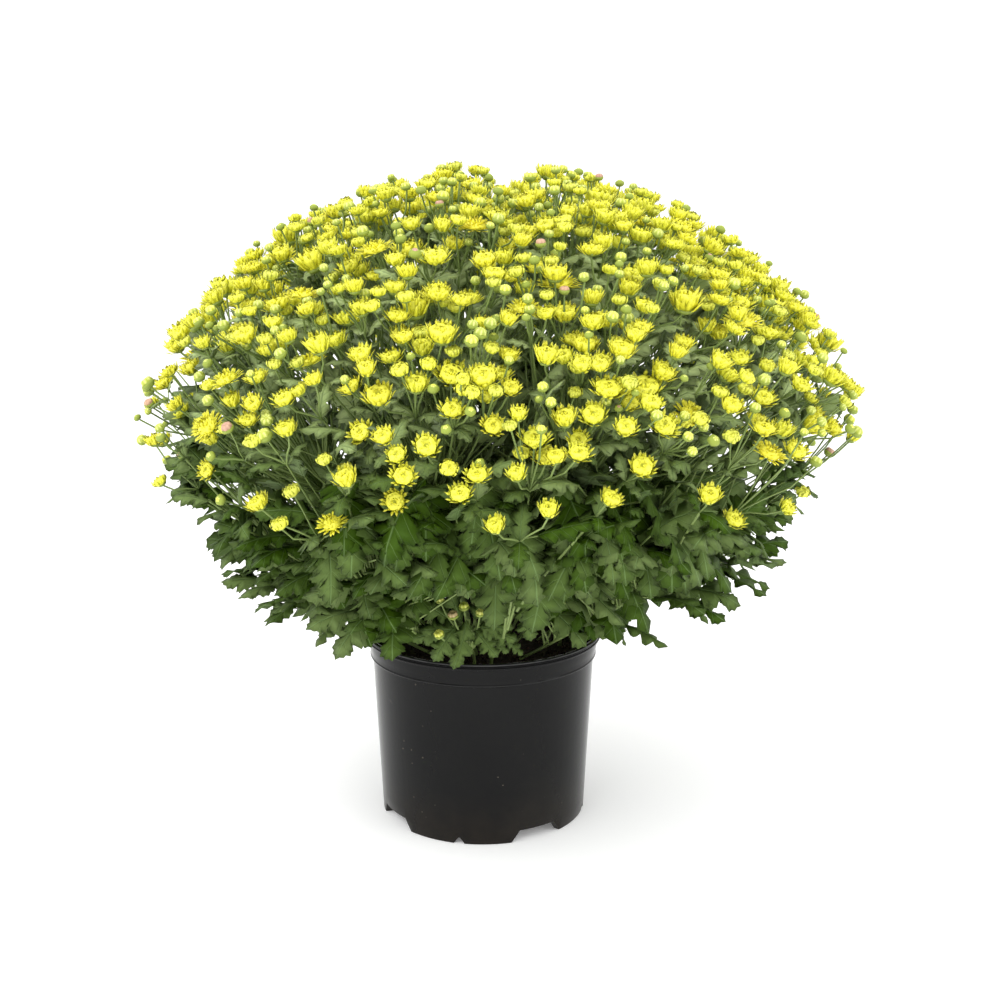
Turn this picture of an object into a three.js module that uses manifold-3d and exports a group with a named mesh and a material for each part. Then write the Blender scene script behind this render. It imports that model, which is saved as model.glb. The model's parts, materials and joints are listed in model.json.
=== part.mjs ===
// A pot chrysanthemum: a black nursery pot filled with soil, leafy stems, and sprays of yellow blooms.
// Millimetres, +Z up. The origin is on the ground, under the middle of the crown; the front faces -Y.
//
// The crown is an ellipsoid. It is shared out in cones that meet in one point under the soil, the apex:
// one leafy stem and one spray grow in each cone, so that no stem crosses another.

import * as THREE from 'three';
import { mergeVertices } from 'three/addons/utils/BufferGeometryUtils.js';
import Module from 'manifold-3d';

const wasm = await Module();
wasm.setup();

// The pot, which stands a little to the left of the crown's middle
const POT_X = -15;
const POT_SIDES = 32;
const POT = { base: 88.5, neck: 95.5, band: 97.2, rim: 99.6, lip: 101.5 };
const POT_Z = { floor: 12, neck: 140, rim: 155, top: 160 };
const WALL = 2.6;
const FOOT_WIDTH = 6.5;
const FLOOR_THICKNESS = 3;
const GAP_BETWEEN_FEET = { angle: 31, width: 27, height: 10 };
const NOTCH_IN_FOOT = { angle: -13, width: 6, height: 5.3 };
const DRAIN_HOLE = { radius: 6, fromAxis: 58, sides: 6 };

// The soil
const SOIL_Z = 143;
const SOIL_ROUGHNESS = 2.5;
const CLEARANCE = 0.3;

// The crown
const CROWN_Z = 354;
const CROWN = { wide: 299, up: 201, down: 245 };
const FURROW = { x: 4, depth: 20, width: 17, length: 130 };
const APEX_DEPTH = 30;

// Stems: rings of cells round the crown's axis, in degrees from upright. The last ring only bounds the others.
const CELL_RINGS = [
  { count: 1, tilt: 0, turn: 0 },
  { count: 6, tilt: 21, turn: 12 },
  { count: 10, tilt: 40, turn: 5 },
  { count: 11, tilt: 58, turn: 16 },
  { count: 11, tilt: 74, turn: 16 },
];
const STEM = { radius: 2.6, depth: 26 };
const CORE = { start: 0.3, shoulder: 0.48, brow: 0.62, seat: 0.76, seatRadius: 7 };
const CORE_FILL = { shoulder: 0.6, brow: 0.84 };

// Heads: blooms and buds
const BLOOM_COUNT = 388;
const BUD_COUNT = 40;
const HEADS_PER_SPRAY = 24;
const LOWEST_HEAD = 104;
const THIN_OUT = { from: 345, to: 292 };
const BLOOM = { smallest: 9.5, range: 4, open: 15, openRange: 2.5, openShare: 0.16, fivePetals: 12.2 };
const BLOOM_DEPTH = { cup: 1.25, open: 0.62 };
const BUD = { radius: 4.6, range: 1.4 };
const STALK = 1.5;
const HUB = { radius: 11, rise: 11 };

// Leaves
const LEAF = { length: 52, range: 8, droop: 0.16, fold: 0.22, halfThickness: 0.8, stalk: 1.7 };
const SKIRT_EDGE = [[0.2, 0.25], [0.36, 0.12], [0.6, 0.32]];
const DOME_EDGE = [[0.42, 0.3], [0.58, 0.13]];
const DOME_LEAVES = 3;
const DOME_LEAF = { tip: 0.8, reach: 0.85, heel: 0.3, hold: 0.64 };
const SKIRT_TIERS = [
  { tip: 63.5, reach: 0.89, heel: 58, hold: 0.62, spread: 10.5, count: 3, size: 1 },
  { tip: 68.5, reach: 0.92, heel: 54, hold: 0.58, spread: 7, count: 2, size: 1 },
  { tip: 70, reach: 0.78, heel: 55.5, hold: 0.46, spread: 6.5, count: 2, size: 0.76 },
];

// Low shoots over the pot's rim, with places from the pot's axis
const SHOOTS = [
  { name: 'front_shoot', root: [-7, -64], elbow: [-9, -90, 169], crook: [-10, -107, 171], buds: 4, leaves: 5 },
  { name: 'right_shoot', root: [66, 0], elbow: [92, 0, 169], crook: [109, 0, 171], buds: 2, leaves: 5 },
];
const SHOOT_ROOM = 58;

const UP = new THREE.Vector3(0, 0, 1);
const APEX = new THREE.Vector3(POT_X, 0, SOIL_Z - APEX_DEPTH);
const MIDDLE = new THREE.Vector3(0, 0, CROWN_Z);

const FINISH = {
  pot: { color: 0x191919, roughness: 0.42, metalness: 0 },
  soil: { color: 0x2a1c12, roughness: 0.95, metalness: 0 },
  green: { color: 0x3c6428, roughness: 0.6, metalness: 0 },
  yellow: { color: 0xf2e11a, roughness: 0.55, metalness: 0 },
};

// ---------------------------------------------------------------- chance and directions

// An even number from 0 to 1 that depends only on the two counts given.
function chance(index, channel) {
  let bits = Math.imul(index + 1, 0x9e3779b1) ^ Math.imul(channel + 7, 0x85ebca6b);
  bits = Math.imul(bits ^ (bits >>> 15), 0x2c1b3c6d);
  bits = Math.imul(bits ^ (bits >>> 12), 0x297a2d39);
  bits ^= bits >>> 15;
  return (bits >>> 0) / 4294967296;
}

function radians(degrees) {
  return THREE.MathUtils.degToRad(degrees);
}

// A unit vector, by its angle from upright and its angle round +Z from +X.
function heading(tilt, turn) {
  const flat = Math.sin(tilt);
  return new THREE.Vector3(flat * Math.cos(turn), flat * Math.sin(turn), Math.cos(tilt));
}

// Two directions square to an axis: side lies level, and rise is the steeper one.
function frameOf(axis) {
  const side = new THREE.Vector3().crossVectors(UP, axis);
  if (side.length() < 1e-6) {
    side.set(1, 0, 0);
  }
  side.normalize();
  const rise = new THREE.Vector3().crossVectors(axis, side);
  return { axis, side, rise };
}

// A unit vector at an angle from a frame's axis, turned round it from side towards rise.
function lean(frame, angle, turn) {
  return new THREE.Vector3()
    .addScaledVector(frame.axis, Math.cos(angle))
    .addScaledVector(frame.side, Math.sin(angle) * Math.cos(turn))
    .addScaledVector(frame.rise, Math.sin(angle) * Math.sin(turn));
}

function along(start, direction, distance) {
  return start.clone().addScaledVector(direction, distance);
}

// The distance from the apex to the crown's surface.
function reach(direction) {
  let distance = 0;
  for (const height of [CROWN.up, CROWN.down]) {
    const scale = new THREE.Vector3(1 / CROWN.wide, 1 / CROWN.wide, 1 / height);
    const start = APEX.clone().sub(MIDDLE).multiply(scale);
    const step = direction.clone().multiply(scale);
    const half = start.dot(step) / step.dot(step);
    const rest = (start.dot(start) - 1) / step.dot(step);
    distance = -half + Math.sqrt(Math.max(half * half - rest, 0));
    if (APEX.z + distance * direction.z >= CROWN_Z) {
      break;
    }
  }
  return distance;
}

// ---------------------------------------------------------------- bodies of triangles

class Body {
  constructor() {
    this.points = [];
    this.faces = [];
  }

  add(point) {
    return this.points.push(point) - 1;
  }

  // A ring of points round an axis, counter-clockwise as seen against it.
  ring(centre, frame, radius, count, turn = 0) {
    const numbers = [];
    for (let k = 0; k < count; k += 1) {
      const direction = lean(frame, Math.PI / 2, turn + (k * 2 * Math.PI) / count);
      numbers.push(this.add(along(centre, direction, radius)));
    }
    return numbers;
  }

  // Joins two rings that start at the same angle, and returns the new faces' numbers.
  band(lower, upper) {
    const first = this.faces.length;
    let i = 0;
    let j = 0;
    while (i < lower.length || j < upper.length) {
      const from = lower[i % lower.length];
      const to = upper[j % upper.length];
      if ((i + 1) / lower.length <= (j + 1) / upper.length) {
        this.faces.push([from, lower[(i + 1) % lower.length], to]);
        i += 1;
      } else {
        this.faces.push([from, upper[(j + 1) % upper.length], to]);
        j += 1;
      }
    }
    return this.faces.slice(first);
  }

  // Closes a ring that runs counter-clockwise as seen from outside.
  cap(ring) {
    for (let k = 1; k + 1 < ring.length; k += 1) {
      this.faces.push([ring[0], ring[k], ring[k + 1]]);
    }
  }

  middle(face) {
    const sum = new THREE.Vector3();
    face.forEach((number) => sum.add(this.points[number]));
    return sum.divideScalar(face.length);
  }

  // Opens a face, so that something can grow out of it.
  open(face) {
    this.faces.splice(this.faces.indexOf(face), 1);
  }

  geometry() {
    const geometry = new THREE.BufferGeometry();
    const numbers = this.points.flatMap((point) => point.toArray());
    geometry.setAttribute('position', new THREE.Float32BufferAttribute(numbers, 3));
    return geometry.setIndex(this.faces.flat());
  }

  solid() {
    return toManifold(this.geometry());
  }
}

function finished(geometry, name, finish) {
  const mesh = new THREE.Mesh(geometry, new THREE.MeshStandardMaterial({ ...finish, flatShading: true }));
  mesh.name = name;
  return mesh;
}

function toManifold(geometry) {
  const plain = geometry.clone();
  plain.deleteAttribute('normal');
  plain.deleteAttribute('uv');
  const merged = mergeVertices(plain, 1e-4);
  const vertProperties = new Float32Array(merged.attributes.position.array);
  const triVerts = new Uint32Array(merged.index.array);
  return new wasm.Manifold(new wasm.Mesh({ numProp: 3, vertProperties, triVerts }));
}

function joined(solid, others) {
  return others.reduce((sum, other) => sum.add(other), solid);
}

function fromManifold(solid) {
  const { vertProperties, triVerts } = solid.getMesh();
  const geometry = new THREE.BufferGeometry();
  geometry.setAttribute('position', new THREE.BufferAttribute(new Float32Array(vertProperties), 3));
  geometry.setIndex(new THREE.BufferAttribute(new Uint32Array(triVerts), 1));
  return geometry;
}

// ---------------------------------------------------------------- cells of the crown

function makeCells() {
  const cells = [];
  for (const ring of CELL_RINGS) {
    for (let k = 0; k < ring.count; k += 1) {
      const turn = radians(ring.turn + (k * 360) / ring.count);
      const axis = heading(radians(ring.tilt), turn);
      cells.push({ axis, turn, tilt: ring.tilt, frame: frameOf(axis), reach: reach(axis), heads: [] });
    }
  }
  return cells;
}

const bounds = makeCells();
const cells = bounds.slice(0, bounds.length - CELL_RINGS.at(-1).count);
const skirtTilt = CELL_RINGS.at(-2).tilt;

// The angle from a cell's axis to its border, in one direction round the axis.
function edgeAngle(cell, turn) {
  const outward = lean(cell.frame, Math.PI / 2, turn);
  let angle = Math.PI / 2;
  for (const other of bounds) {
    const slope = outward.dot(other.axis);
    if (other !== cell && slope > 1e-9) {
      angle = Math.min(angle, Math.atan2(1 - cell.axis.dot(other.axis), slope));
    }
  }
  return angle;
}

function cellOf(point) {
  const direction = point.clone().sub(APEX);
  let best = cells[0];
  for (const cell of cells) {
    if (cell.axis.dot(direction) > best.axis.dot(direction)) {
      best = cell;
    }
  }
  return best;
}

function hubOf(cell) {
  return along(APEX, cell.axis, cell.reach * CORE.seat + CLEARANCE);
}

// ---------------------------------------------------------------- where the heads are

// A place on the crown's surface, with its outward normal.
function crownPlace(index) {
  const lowest = Math.cos(radians(LOWEST_HEAD));
  const level = 1 - chance(index, 1) * (1 - lowest);
  const tilt = Math.acos(level);
  const turn = 2 * Math.PI * chance(index, 2);
  const height = level > 0 ? CROWN.up : CROWN.down;
  const round = heading(tilt, turn);
  const point = new THREE.Vector3(CROWN.wide, CROWN.wide, height).multiply(round).add(MIDDLE);
  const normal = round.clone().divide(new THREE.Vector3(CROWN.wide, CROWN.wide, height)).normalize();
  const across = (point.x - FURROW.x) / FURROW.width;
  const back = point.y / FURROW.length;
  point.z -= FURROW.depth * Math.exp(-across * across - back * back);
  return { point, normal };
}

function headAt(index, isBud) {
  const { point, normal } = crownPlace(index);
  const isOpen = !isBud && chance(index, 3) < BLOOM.openShare;
  let radius = BLOOM.smallest + BLOOM.range * chance(index, 4);
  let depth = radius * BLOOM_DEPTH.cup;
  if (isOpen) {
    radius = BLOOM.open + BLOOM.openRange * chance(index, 4);
    depth = radius * BLOOM_DEPTH.open;
  }
  if (isBud) {
    radius = BUD.radius + BUD.range * chance(index, 4);
    depth = radius * 1.7;
  }
  const sunk = (isBud ? 22 : 26) * chance(index, 5) ** 2;
  const guard = isBud ? radius * 1.05 : radius * 1.08;
  const centre = along(point, normal, -guard - sunk);
  const cell = cellOf(centre);
  const axis = centre.clone().sub(hubOf(cell)).normalize().multiplyScalar(0.5);
  axis.addScaledVector(normal, 0.4).addScaledVector(UP, 0.35);
  axis.x += 0.5 * (chance(index, 6) - 0.5);
  axis.y += 0.5 * (chance(index, 7) - 0.5);
  axis.z += 0.5 * (chance(index, 8) - 0.5);
  axis.normalize();
  const base = along(centre, axis, -depth * (isBud ? 0.5 : 0.7));
  return { index, isBud, isOpen, radius, depth, axis, guard, centre, base, cell };
}

function segmentDistance(point, start, end) {
  const line = new THREE.Line3(start, end);
  const nearest = line.closestPointToPoint(point, true, new THREE.Vector3());
  return nearest.distanceTo(point);
}

function isClear(head, others) {
  const hub = hubOf(head.cell);
  for (const other of others) {
    const apart = head.centre.distanceTo(other.centre);
    if (apart < head.guard + other.guard + 0.6) {
      return false;
    }
    if (apart > 160) {
      continue;
    }
    const otherHub = hubOf(other.cell);
    const room = STALK + 0.8;
    if (segmentDistance(head.centre, otherHub, other.base) < head.guard + room) {
      return false;
    }
    if (segmentDistance(other.centre, hub, head.base) < other.guard + room) {
      return false;
    }
  }
  return true;
}

// Heads are thrown at the crown in a fixed order, and each stays where it finds room.
function placeHeads() {
  const heads = [];
  const scatter = (firstIndex, wanted, isBud) => {
    let placed = 0;
    for (let index = firstIndex; placed < wanted && index < firstIndex + 20000; index += 1) {
      const head = headAt(index, isBud);
      const thin = (head.centre.z - THIN_OUT.to) / (THIN_OUT.from - THIN_OUT.to);
      const hasRoom = head.cell.heads.length < HEADS_PER_SPRAY && chance(index, 9) < thin;
      if (hasRoom && isClear(head, heads)) {
        heads.push(head);
        head.cell.heads.push(head);
        placed += 1;
      }
    }
  };
  scatter(0, BLOOM_COUNT, false);
  scatter(50000, BUD_COUNT, true);
  return heads;
}

// ---------------------------------------------------------------- growing out of faces

// A point's place round an axis, flattened: its angle from the axis, in the direction it turns.
function flatten(point, origin, frame) {
  const direction = point.clone().sub(origin);
  const angle = direction.angleTo(frame.axis);
  const turn = Math.atan2(direction.dot(frame.rise), direction.dot(frame.side));
  return new THREE.Vector2(angle * Math.cos(turn), angle * Math.sin(turn));
}

function spreadEvenly(places) {
  const widest = Math.max(...places.map((place) => place.length()), 1e-9);
  places.forEach((place) => place.divideScalar(widest));
}

// Gives each target a place of its own, with the least sum of squared distances that swaps can find.
function pairUp(places, targets) {
  const choice = targets.map((target, index) => index);
  const cost = (target, place) => targets[target].distanceToSquared(places[place]);
  let improved = true;
  while (improved) {
    improved = false;
    for (let target = 0; target < targets.length; target += 1) {
      for (let place = 0; place < places.length; place += 1) {
        const rival = choice.indexOf(place);
        const current = choice[target];
        let gain = cost(target, current) - cost(target, place);
        if (rival >= 0) {
          gain += cost(rival, place) - cost(rival, current);
        }
        if (gain > 1e-9) {
          choice[target] = place;
          if (rival >= 0) {
            choice[rival] = current;
          }
          improved = true;
        }
      }
    }
  }
  return choice;
}

// Whether the edge from p to q passes through a triangle of corners a, b and c.
function pierces(p, q, [a, b, c]) {
  const ray = new THREE.Ray(p, q.clone().sub(p).normalize());
  const hit = ray.intersectTriangle(a, b, c, false, new THREE.Vector3());
  return hit !== null && hit.distanceTo(p) <= p.distanceTo(q);
}

// Whether two triangles of a body cross. Those with one corner in common touch there, and may not meet again.
function cross(points, one, two) {
  const common = one.filter((number) => two.includes(number));
  if (common.length > 1) {
    return false;
  }
  const corners = (face) => face.map((number) => points[number]);
  const edges = (face) => [0, 1, 2]
    .map((k) => [face[k], face[(k + 1) % 3]])
    .filter((edge) => !edge.includes(common[0]))
    .map((edge) => edge.map((number) => points[number]));
  const first = corners(one);
  const second = corners(two);
  return edges(one).some(([p, q]) => pierces(p, q, second)) || edges(two).some(([p, q]) => pierces(p, q, first));
}

function boxOf(points, face) {
  return new THREE.Box3().setFromPoints(face.map((number) => points[number]));
}

function anyCross(points, fresh, old) {
  const boxes = fresh.map((face) => boxOf(points, face));
  const around = boxes.reduce((sum, box) => sum.union(box), new THREE.Box3());
  const near = old.filter((face) => boxOf(points, face).intersectsBox(around));
  return fresh.some((face, k) => [...near, ...fresh].some((other) => (
    other !== face && boxOf(points, other).intersectsBox(boxes[k]) && cross(points, face, other)
  )));
}

// The turn at which a ring of three meets a face's corners with the least twist.
function facingTurn(body, face, frame) {
  const middle = body.middle(face);
  let across = 0;
  let up = 0;
  face.forEach((number, k) => {
    const corner = body.points[number].clone().sub(middle);
    const turn = Math.atan2(corner.dot(frame.rise), corner.dot(frame.side)) - (k * 2 * Math.PI) / 3;
    across += Math.cos(turn);
    up += Math.sin(turn);
  });
  return Math.atan2(up, across);
}

// A stalk's end under a head, joined to the face or the point that it grows from.
function growStalk(body, face, head) {
  const frame = frameOf(head.axis);
  const turn = face ? facingTurn(body, face, frame) : 0;
  const ring = body.ring(head.base, frame, STALK, 3, turn);
  if (face) {
    body.open(face);
    body.band(face, ring);
  } else {
    const start = body.add(head.stalkStart);
    body.faces.push([start, ring[1], ring[0]], [start, ring[2], ring[1]], [start, ring[0], ring[2]]);
  }
  return { frame, ring, turn };
}

// A bloom is a cup of pointed petals round a shallow dish.
function growBloom(body, face, head) {
  const { frame, ring, turn } = growStalk(body, face, head);
  const petals = head.radius < BLOOM.fivePetals ? 4 : 5;
  const rim = [];
  for (let k = 0; k < petals * 2; k += 1) {
    const isTip = k % 2 === 0;
    const outward = lean(frame, Math.PI / 2, turn + (k * Math.PI) / petals);
    const place = along(head.base, head.axis, head.depth * (isTip ? 1 : 0.6));
    rim.push(body.add(along(place, outward, head.radius * (isTip ? 1 : 0.56))));
  }
  body.band(ring, rim);
  const valleys = rim.filter((number, k) => k % 2 === 1);
  body.cap(valleys);
  for (let k = 0; k < petals; k += 1) {
    body.faces.push([valleys[(k + petals - 1) % petals], rim[2 * k], valleys[k]]);
  }
}

function growBud(body, face, head) {
  const { frame, ring, turn } = growStalk(body, face, head);
  const waist = body.ring(along(head.base, head.axis, head.depth * 0.5), frame, head.radius, 4, turn);
  const top = body.add(along(head.base, head.axis, head.depth));
  body.band(ring, waist);
  waist.forEach((number, k) => body.faces.push([number, waist[(k + 1) % 4], top]));
}

function growHead(body, face, head) {
  const grow = head.isBud ? growBud : growBloom;
  grow(body, face, head);
}

// Gives each head the face that lies nearest to its direction, and grows it from there. A head whose stalk
// would cross another is made by itself, and joined.
function growHeads(body, faces, heads, origin, frame) {
  const places = faces.map((face) => flatten(body.middle(face), origin, frame));
  const targets = heads.map((head) => flatten(head.base, origin, frame));
  spreadEvenly(places);
  spreadEvenly(targets);
  const choice = pairUp(places, targets);
  const apart = [];
  heads.forEach((head, k) => {
    const oldFaces = [...body.faces];
    const oldCount = body.points.length;
    growHead(body, faces[choice[k]], head);
    const fresh = body.faces.slice(oldFaces.length - 1);
    const old = body.faces.slice(0, oldFaces.length - 1);
    if (anyCross(body.points, fresh, old)) {
      body.faces = oldFaces;
      body.points.length = oldCount;
      apart.push(head);
    }
  });
  const solids = apart.map((head, k) => {
    const single = new Body();
    growHead(single, null, { ...head, stalkStart: along(origin, frame.axis, 2.5 + 0.3 * k) });
    return single.solid();
  });
  return joined(body.solid(), solids);
}

// A leaf on its stalk, as a solid: heel is the stalk's inner end, inside what carries it, tip is the leaf's
// far end, and sky is the side it shows.
function leafSolid({ heel, tip, sky, length, outline }) {
  const body = new Body();
  const forward = tip.clone().sub(heel).normalize();
  const side = new THREE.Vector3().crossVectors(sky, forward).normalize();
  const top = new THREE.Vector3().crossVectors(forward, side);
  const place = (u, v, lift) => {
    const arch = 2 * LEAF.droop * u * (1 - u) - LEAF.fold * Math.abs(v);
    const point = along(tip, forward, (u - 1) * length).addScaledVector(side, v * length);
    return body.add(point.addScaledVector(top, arch * length + lift));
  };
  const halfStalk = LEAF.stalk / length;
  const left = place(0, halfStalk, 0);
  const right = place(0, -halfStalk, 0);
  const keel = place(0, 0, -LEAF.stalk);
  const edge = [right];
  outline.forEach(([u, v]) => edge.push(place(u, -v, 0)));
  edge.push(place(1, 0, 0));
  [...outline].reverse().forEach(([u, v]) => edge.push(place(u, v, 0)));
  edge.push(left);
  const above = place(0.45, 0, LEAF.halfThickness);
  const below = place(0.45, 0, -LEAF.halfThickness);
  const end = body.add(heel);
  for (let k = 0; k + 1 < edge.length; k += 1) {
    body.faces.push([edge[k], edge[k + 1], above]);
    body.faces.push([edge[k + 1], edge[k], below]);
  }
  body.faces.push([left, right, above], [right, keel, below], [keel, left, below]);
  body.faces.push([right, left, end], [left, keel, end], [keel, right, end]);
  return body.solid();
}

// ---------------------------------------------------------------- leafy stems

function fromPot([x, y, z = SOIL_Z]) {
  return new THREE.Vector3(POT_X + x, y, z);
}

function isFreeOfShoots(heel, tip) {
  return SHOOTS.every((shoot) => segmentDistance(fromPot(shoot.crook), heel, tip) > SHOOT_ROOM);
}

function leavesOf(cell, number) {
  const leaves = [];
  const add = (heel, tip, sky, outline, size) => {
    const length = LEAF.length + LEAF.range * (chance(number * 16 + leaves.length, 20) - 0.5);
    leaves.push({ heel, tip, sky, outline, length: length * size });
  };
  const isSkirt = cell.tilt === skirtTilt;
  for (let k = 0; k < (isSkirt ? 1 : DOME_LEAVES); k += 1) {
    const jitter = 0.5 * (chance(number * 16 + k, 24) - 0.5);
    const turn = ((k + 0.25 + jitter) * 2 * Math.PI) / DOME_LEAVES;
    const edge = edgeAngle(cell, turn);
    const outward = lean(cell.frame, edge * DOME_LEAF.tip, turn);
    const heel = along(APEX, lean(cell.frame, edge * DOME_LEAF.heel, turn), cell.reach * DOME_LEAF.hold);
    add(heel, along(APEX, outward, reach(outward) * DOME_LEAF.reach), cell.axis, DOME_EDGE, 1);
  }
  for (const tier of isSkirt ? SKIRT_TIERS : []) {
    for (let k = 0; k < tier.count; k += 1) {
      const offset = tier.spread * (2 * k - tier.count + 1) / (tier.count - 1);
      const jitter = 3 * (chance(number * 16 + leaves.length, 22) - 0.5);
      const tipAxis = heading(radians(tier.tip + jitter), cell.turn + radians(offset));
      const heelAxis = heading(radians(tier.heel), cell.turn + radians(offset * 0.3));
      const heel = along(APEX, heelAxis, cell.reach * tier.hold);
      const tip = along(APEX, tipAxis, reach(tipAxis) * tier.reach);
      const sky = new THREE.Vector3(tipAxis.x, tipAxis.y, 0.8);
      if (isFreeOfShoots(heel, tip)) {
        add(heel, tip, sky, SKIRT_EDGE, tier.size);
      }
    }
  }
  return leaves;
}

function makeStem(cell, number) {
  const body = new Body();
  const upright = frameOf(UP);
  const foot = soilPlace(cell);
  const turn = Math.atan2(cell.frame.side.y, cell.frame.side.x);
  const tip = body.ring(along(foot, UP, -STEM.depth), upright, STEM.radius, 3, turn);
  const level = body.ring(foot, upright, STEM.radius, 3, turn);
  const neck = body.ring(along(APEX, cell.axis, cell.reach * CORE.start), cell.frame, STEM.radius, 3);
  const sixRing = (part, fill) => [0, 1, 2, 3, 4, 5].map((k) => {
    const around = (k * Math.PI) / 3;
    const direction = lean(cell.frame, edgeAngle(cell, around) * fill, around);
    return body.add(along(APEX, direction, reach(direction) * part));
  });
  const shoulder = sixRing(CORE.shoulder, CORE_FILL.shoulder);
  const brow = sixRing(CORE.brow, CORE_FILL.brow);
  const seat = body.ring(along(APEX, cell.axis, cell.reach * CORE.seat), cell.frame, CORE.seatRadius, 3);
  body.cap([...tip].reverse());
  body.band(tip, level);
  body.band(level, neck);
  body.band(neck, shoulder);
  body.band(shoulder, brow);
  body.band(brow, seat);
  body.cap(seat);
  const stem = joined(body.solid(), leavesOf(cell, number).map(leafSolid));
  return finished(fromManifold(stem), `leafy_stem_${String(number + 1).padStart(2, '0')}`, FINISH.green);
}

// Where a cell's stem leaves the soil.
function soilPlace(cell) {
  return along(APEX, cell.axis, APEX_DEPTH / cell.axis.z);
}

// ---------------------------------------------------------------- flower sprays

function makeSpray(cell, number) {
  const body = new Body();
  const origin = hubOf(cell);
  const heads = new THREE.Vector3();
  cell.heads.forEach((head) => heads.add(head.base.clone().sub(origin).normalize()));
  const frame = { ...cell.frame, axis: heads.normalize() };
  frame.side = new THREE.Vector3().crossVectors(cell.frame.rise, frame.axis).normalize();
  frame.rise = new THREE.Vector3().crossVectors(frame.axis, frame.side);
  const skirt = body.ring(origin, cell.frame, HUB.radius, 12);
  const waist = body.ring(along(origin, frame.axis, HUB.rise * 0.66), frame, HUB.radius * 0.62, 6);
  const top = body.add(along(origin, frame.axis, HUB.rise));
  body.cap([...skirt].reverse());
  const faces = body.band(skirt, waist);
  waist.forEach((start, k) => {
    const face = [start, waist[(k + 1) % 6], top];
    body.faces.push(face);
    faces.push(face);
  });
  const spray = growHeads(body, faces, cell.heads, origin, frame);
  return finished(fromManifold(spray), `spray_${String(number + 1).padStart(2, '0')}`, FINISH.yellow);
}

// ---------------------------------------------------------------- low shoots

// A thin stem that leans over the pot's rim, with small leaves and buds round its end.
function makeShoot(shoot) {
  const body = new Body();
  const root = fromPot(shoot.root);
  const crook = fromPot(shoot.crook);
  const outward = new THREE.Vector3(shoot.crook[0], shoot.crook[1], 0).normalize();
  const frame = frameOf(outward.clone().add(UP).normalize());
  const upright = frameOf(UP);
  const turn = Math.atan2(frame.side.y, frame.side.x);
  const deep = body.ring(along(root, UP, -STEM.depth * 0.6), upright, STEM.radius, 3, turn);
  const level = body.ring(root, upright, STEM.radius, 3, turn);
  const bend = body.ring(fromPot(shoot.elbow), frame, STEM.radius, 3);
  const waist = body.ring(crook, frame, 6, 6);
  const crown = body.ring(along(crook, frame.axis, 5), frame, 4, 3);
  body.cap([...deep].reverse());
  body.band(deep, level);
  body.band(level, bend);
  body.band(bend, waist);
  const faces = body.band(waist, crown);
  body.cap(crown);
  const buds = [];
  for (let k = 0; k < shoot.buds; k += 1) {
    const radius = BUD.radius * 0.85;
    const lift = lean(frame, radians(28), radians(45) + (k * 2 * Math.PI) / shoot.buds);
    const axis = lift.clone().add(UP).normalize();
    buds.push({ isBud: true, radius, depth: radius * 1.7, axis, base: along(crook, lift, 21 + 5 * (k % 2)) });
  }
  const stem = growHeads(body, faces, buds, crook, frame);
  const leaves = [];
  for (let k = 0; k < shoot.leaves; k += 1) {
    const forward = outward.clone().applyAxisAngle(UP, radians(-76 + (152 * k) / (shoot.leaves - 1)));
    const sky = UP.clone().addScaledVector(forward, 0.6);
    forward.z = k % 2 === 0 ? -0.3 : 0.12;
    forward.normalize();
    const length = 32 + 5 * (k % 2);
    const tip = along(crook, forward, length + 12);
    leaves.push(leafSolid({ heel: crook, tip, sky, length, outline: SKIRT_EDGE }));
  }
  return finished(fromManifold(joined(stem, leaves)), shoot.name, FINISH.green);
}

// ---------------------------------------------------------------- pot and soil

function revolve(profile, sides) {
  const points = profile.map(([radius, height]) => new THREE.Vector2(radius, height));
  const geometry = new THREE.LatheGeometry(points, sides);
  return geometry.rotateX(Math.PI / 2);
}

// The pot's inner radius at a height.
function boreRadius(height) {
  if (height > POT_Z.neck) {
    const part = (height - POT_Z.neck) / (POT_Z.top - POT_Z.neck);
    return POT.neck - WALL + part * (POT.lip - POT.neck - WALL + 1);
  }
  return POT.base - WALL + (height / POT_Z.neck) * (POT.neck - POT.base);
}

// A tapered block that reaches through the foot ring from below, at an angle from the front.
function footCut({ angle, width, height }, sharp) {
  const halfWidth = POT.base * Math.tan(radians(width / 2));
  const shape = new THREE.Shape();
  shape.moveTo(-halfWidth * (sharp ? 1.4 : 1.3), -height * 0.4);
  shape.lineTo(halfWidth * (sharp ? 1.4 : 1.3), -height * 0.4);
  shape.lineTo(sharp ? 0 : halfWidth * 0.8, height);
  if (!sharp) {
    shape.lineTo(-halfWidth * 0.8, height);
  }
  const block = new THREE.ExtrudeGeometry(shape, { depth: 24, bevelEnabled: false, steps: 1 });
  block.rotateX(Math.PI / 2);
  block.translate(0, -POT.base + FOOT_WIDTH * 2, 0);
  return block.rotateZ(radians(angle));
}

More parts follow.
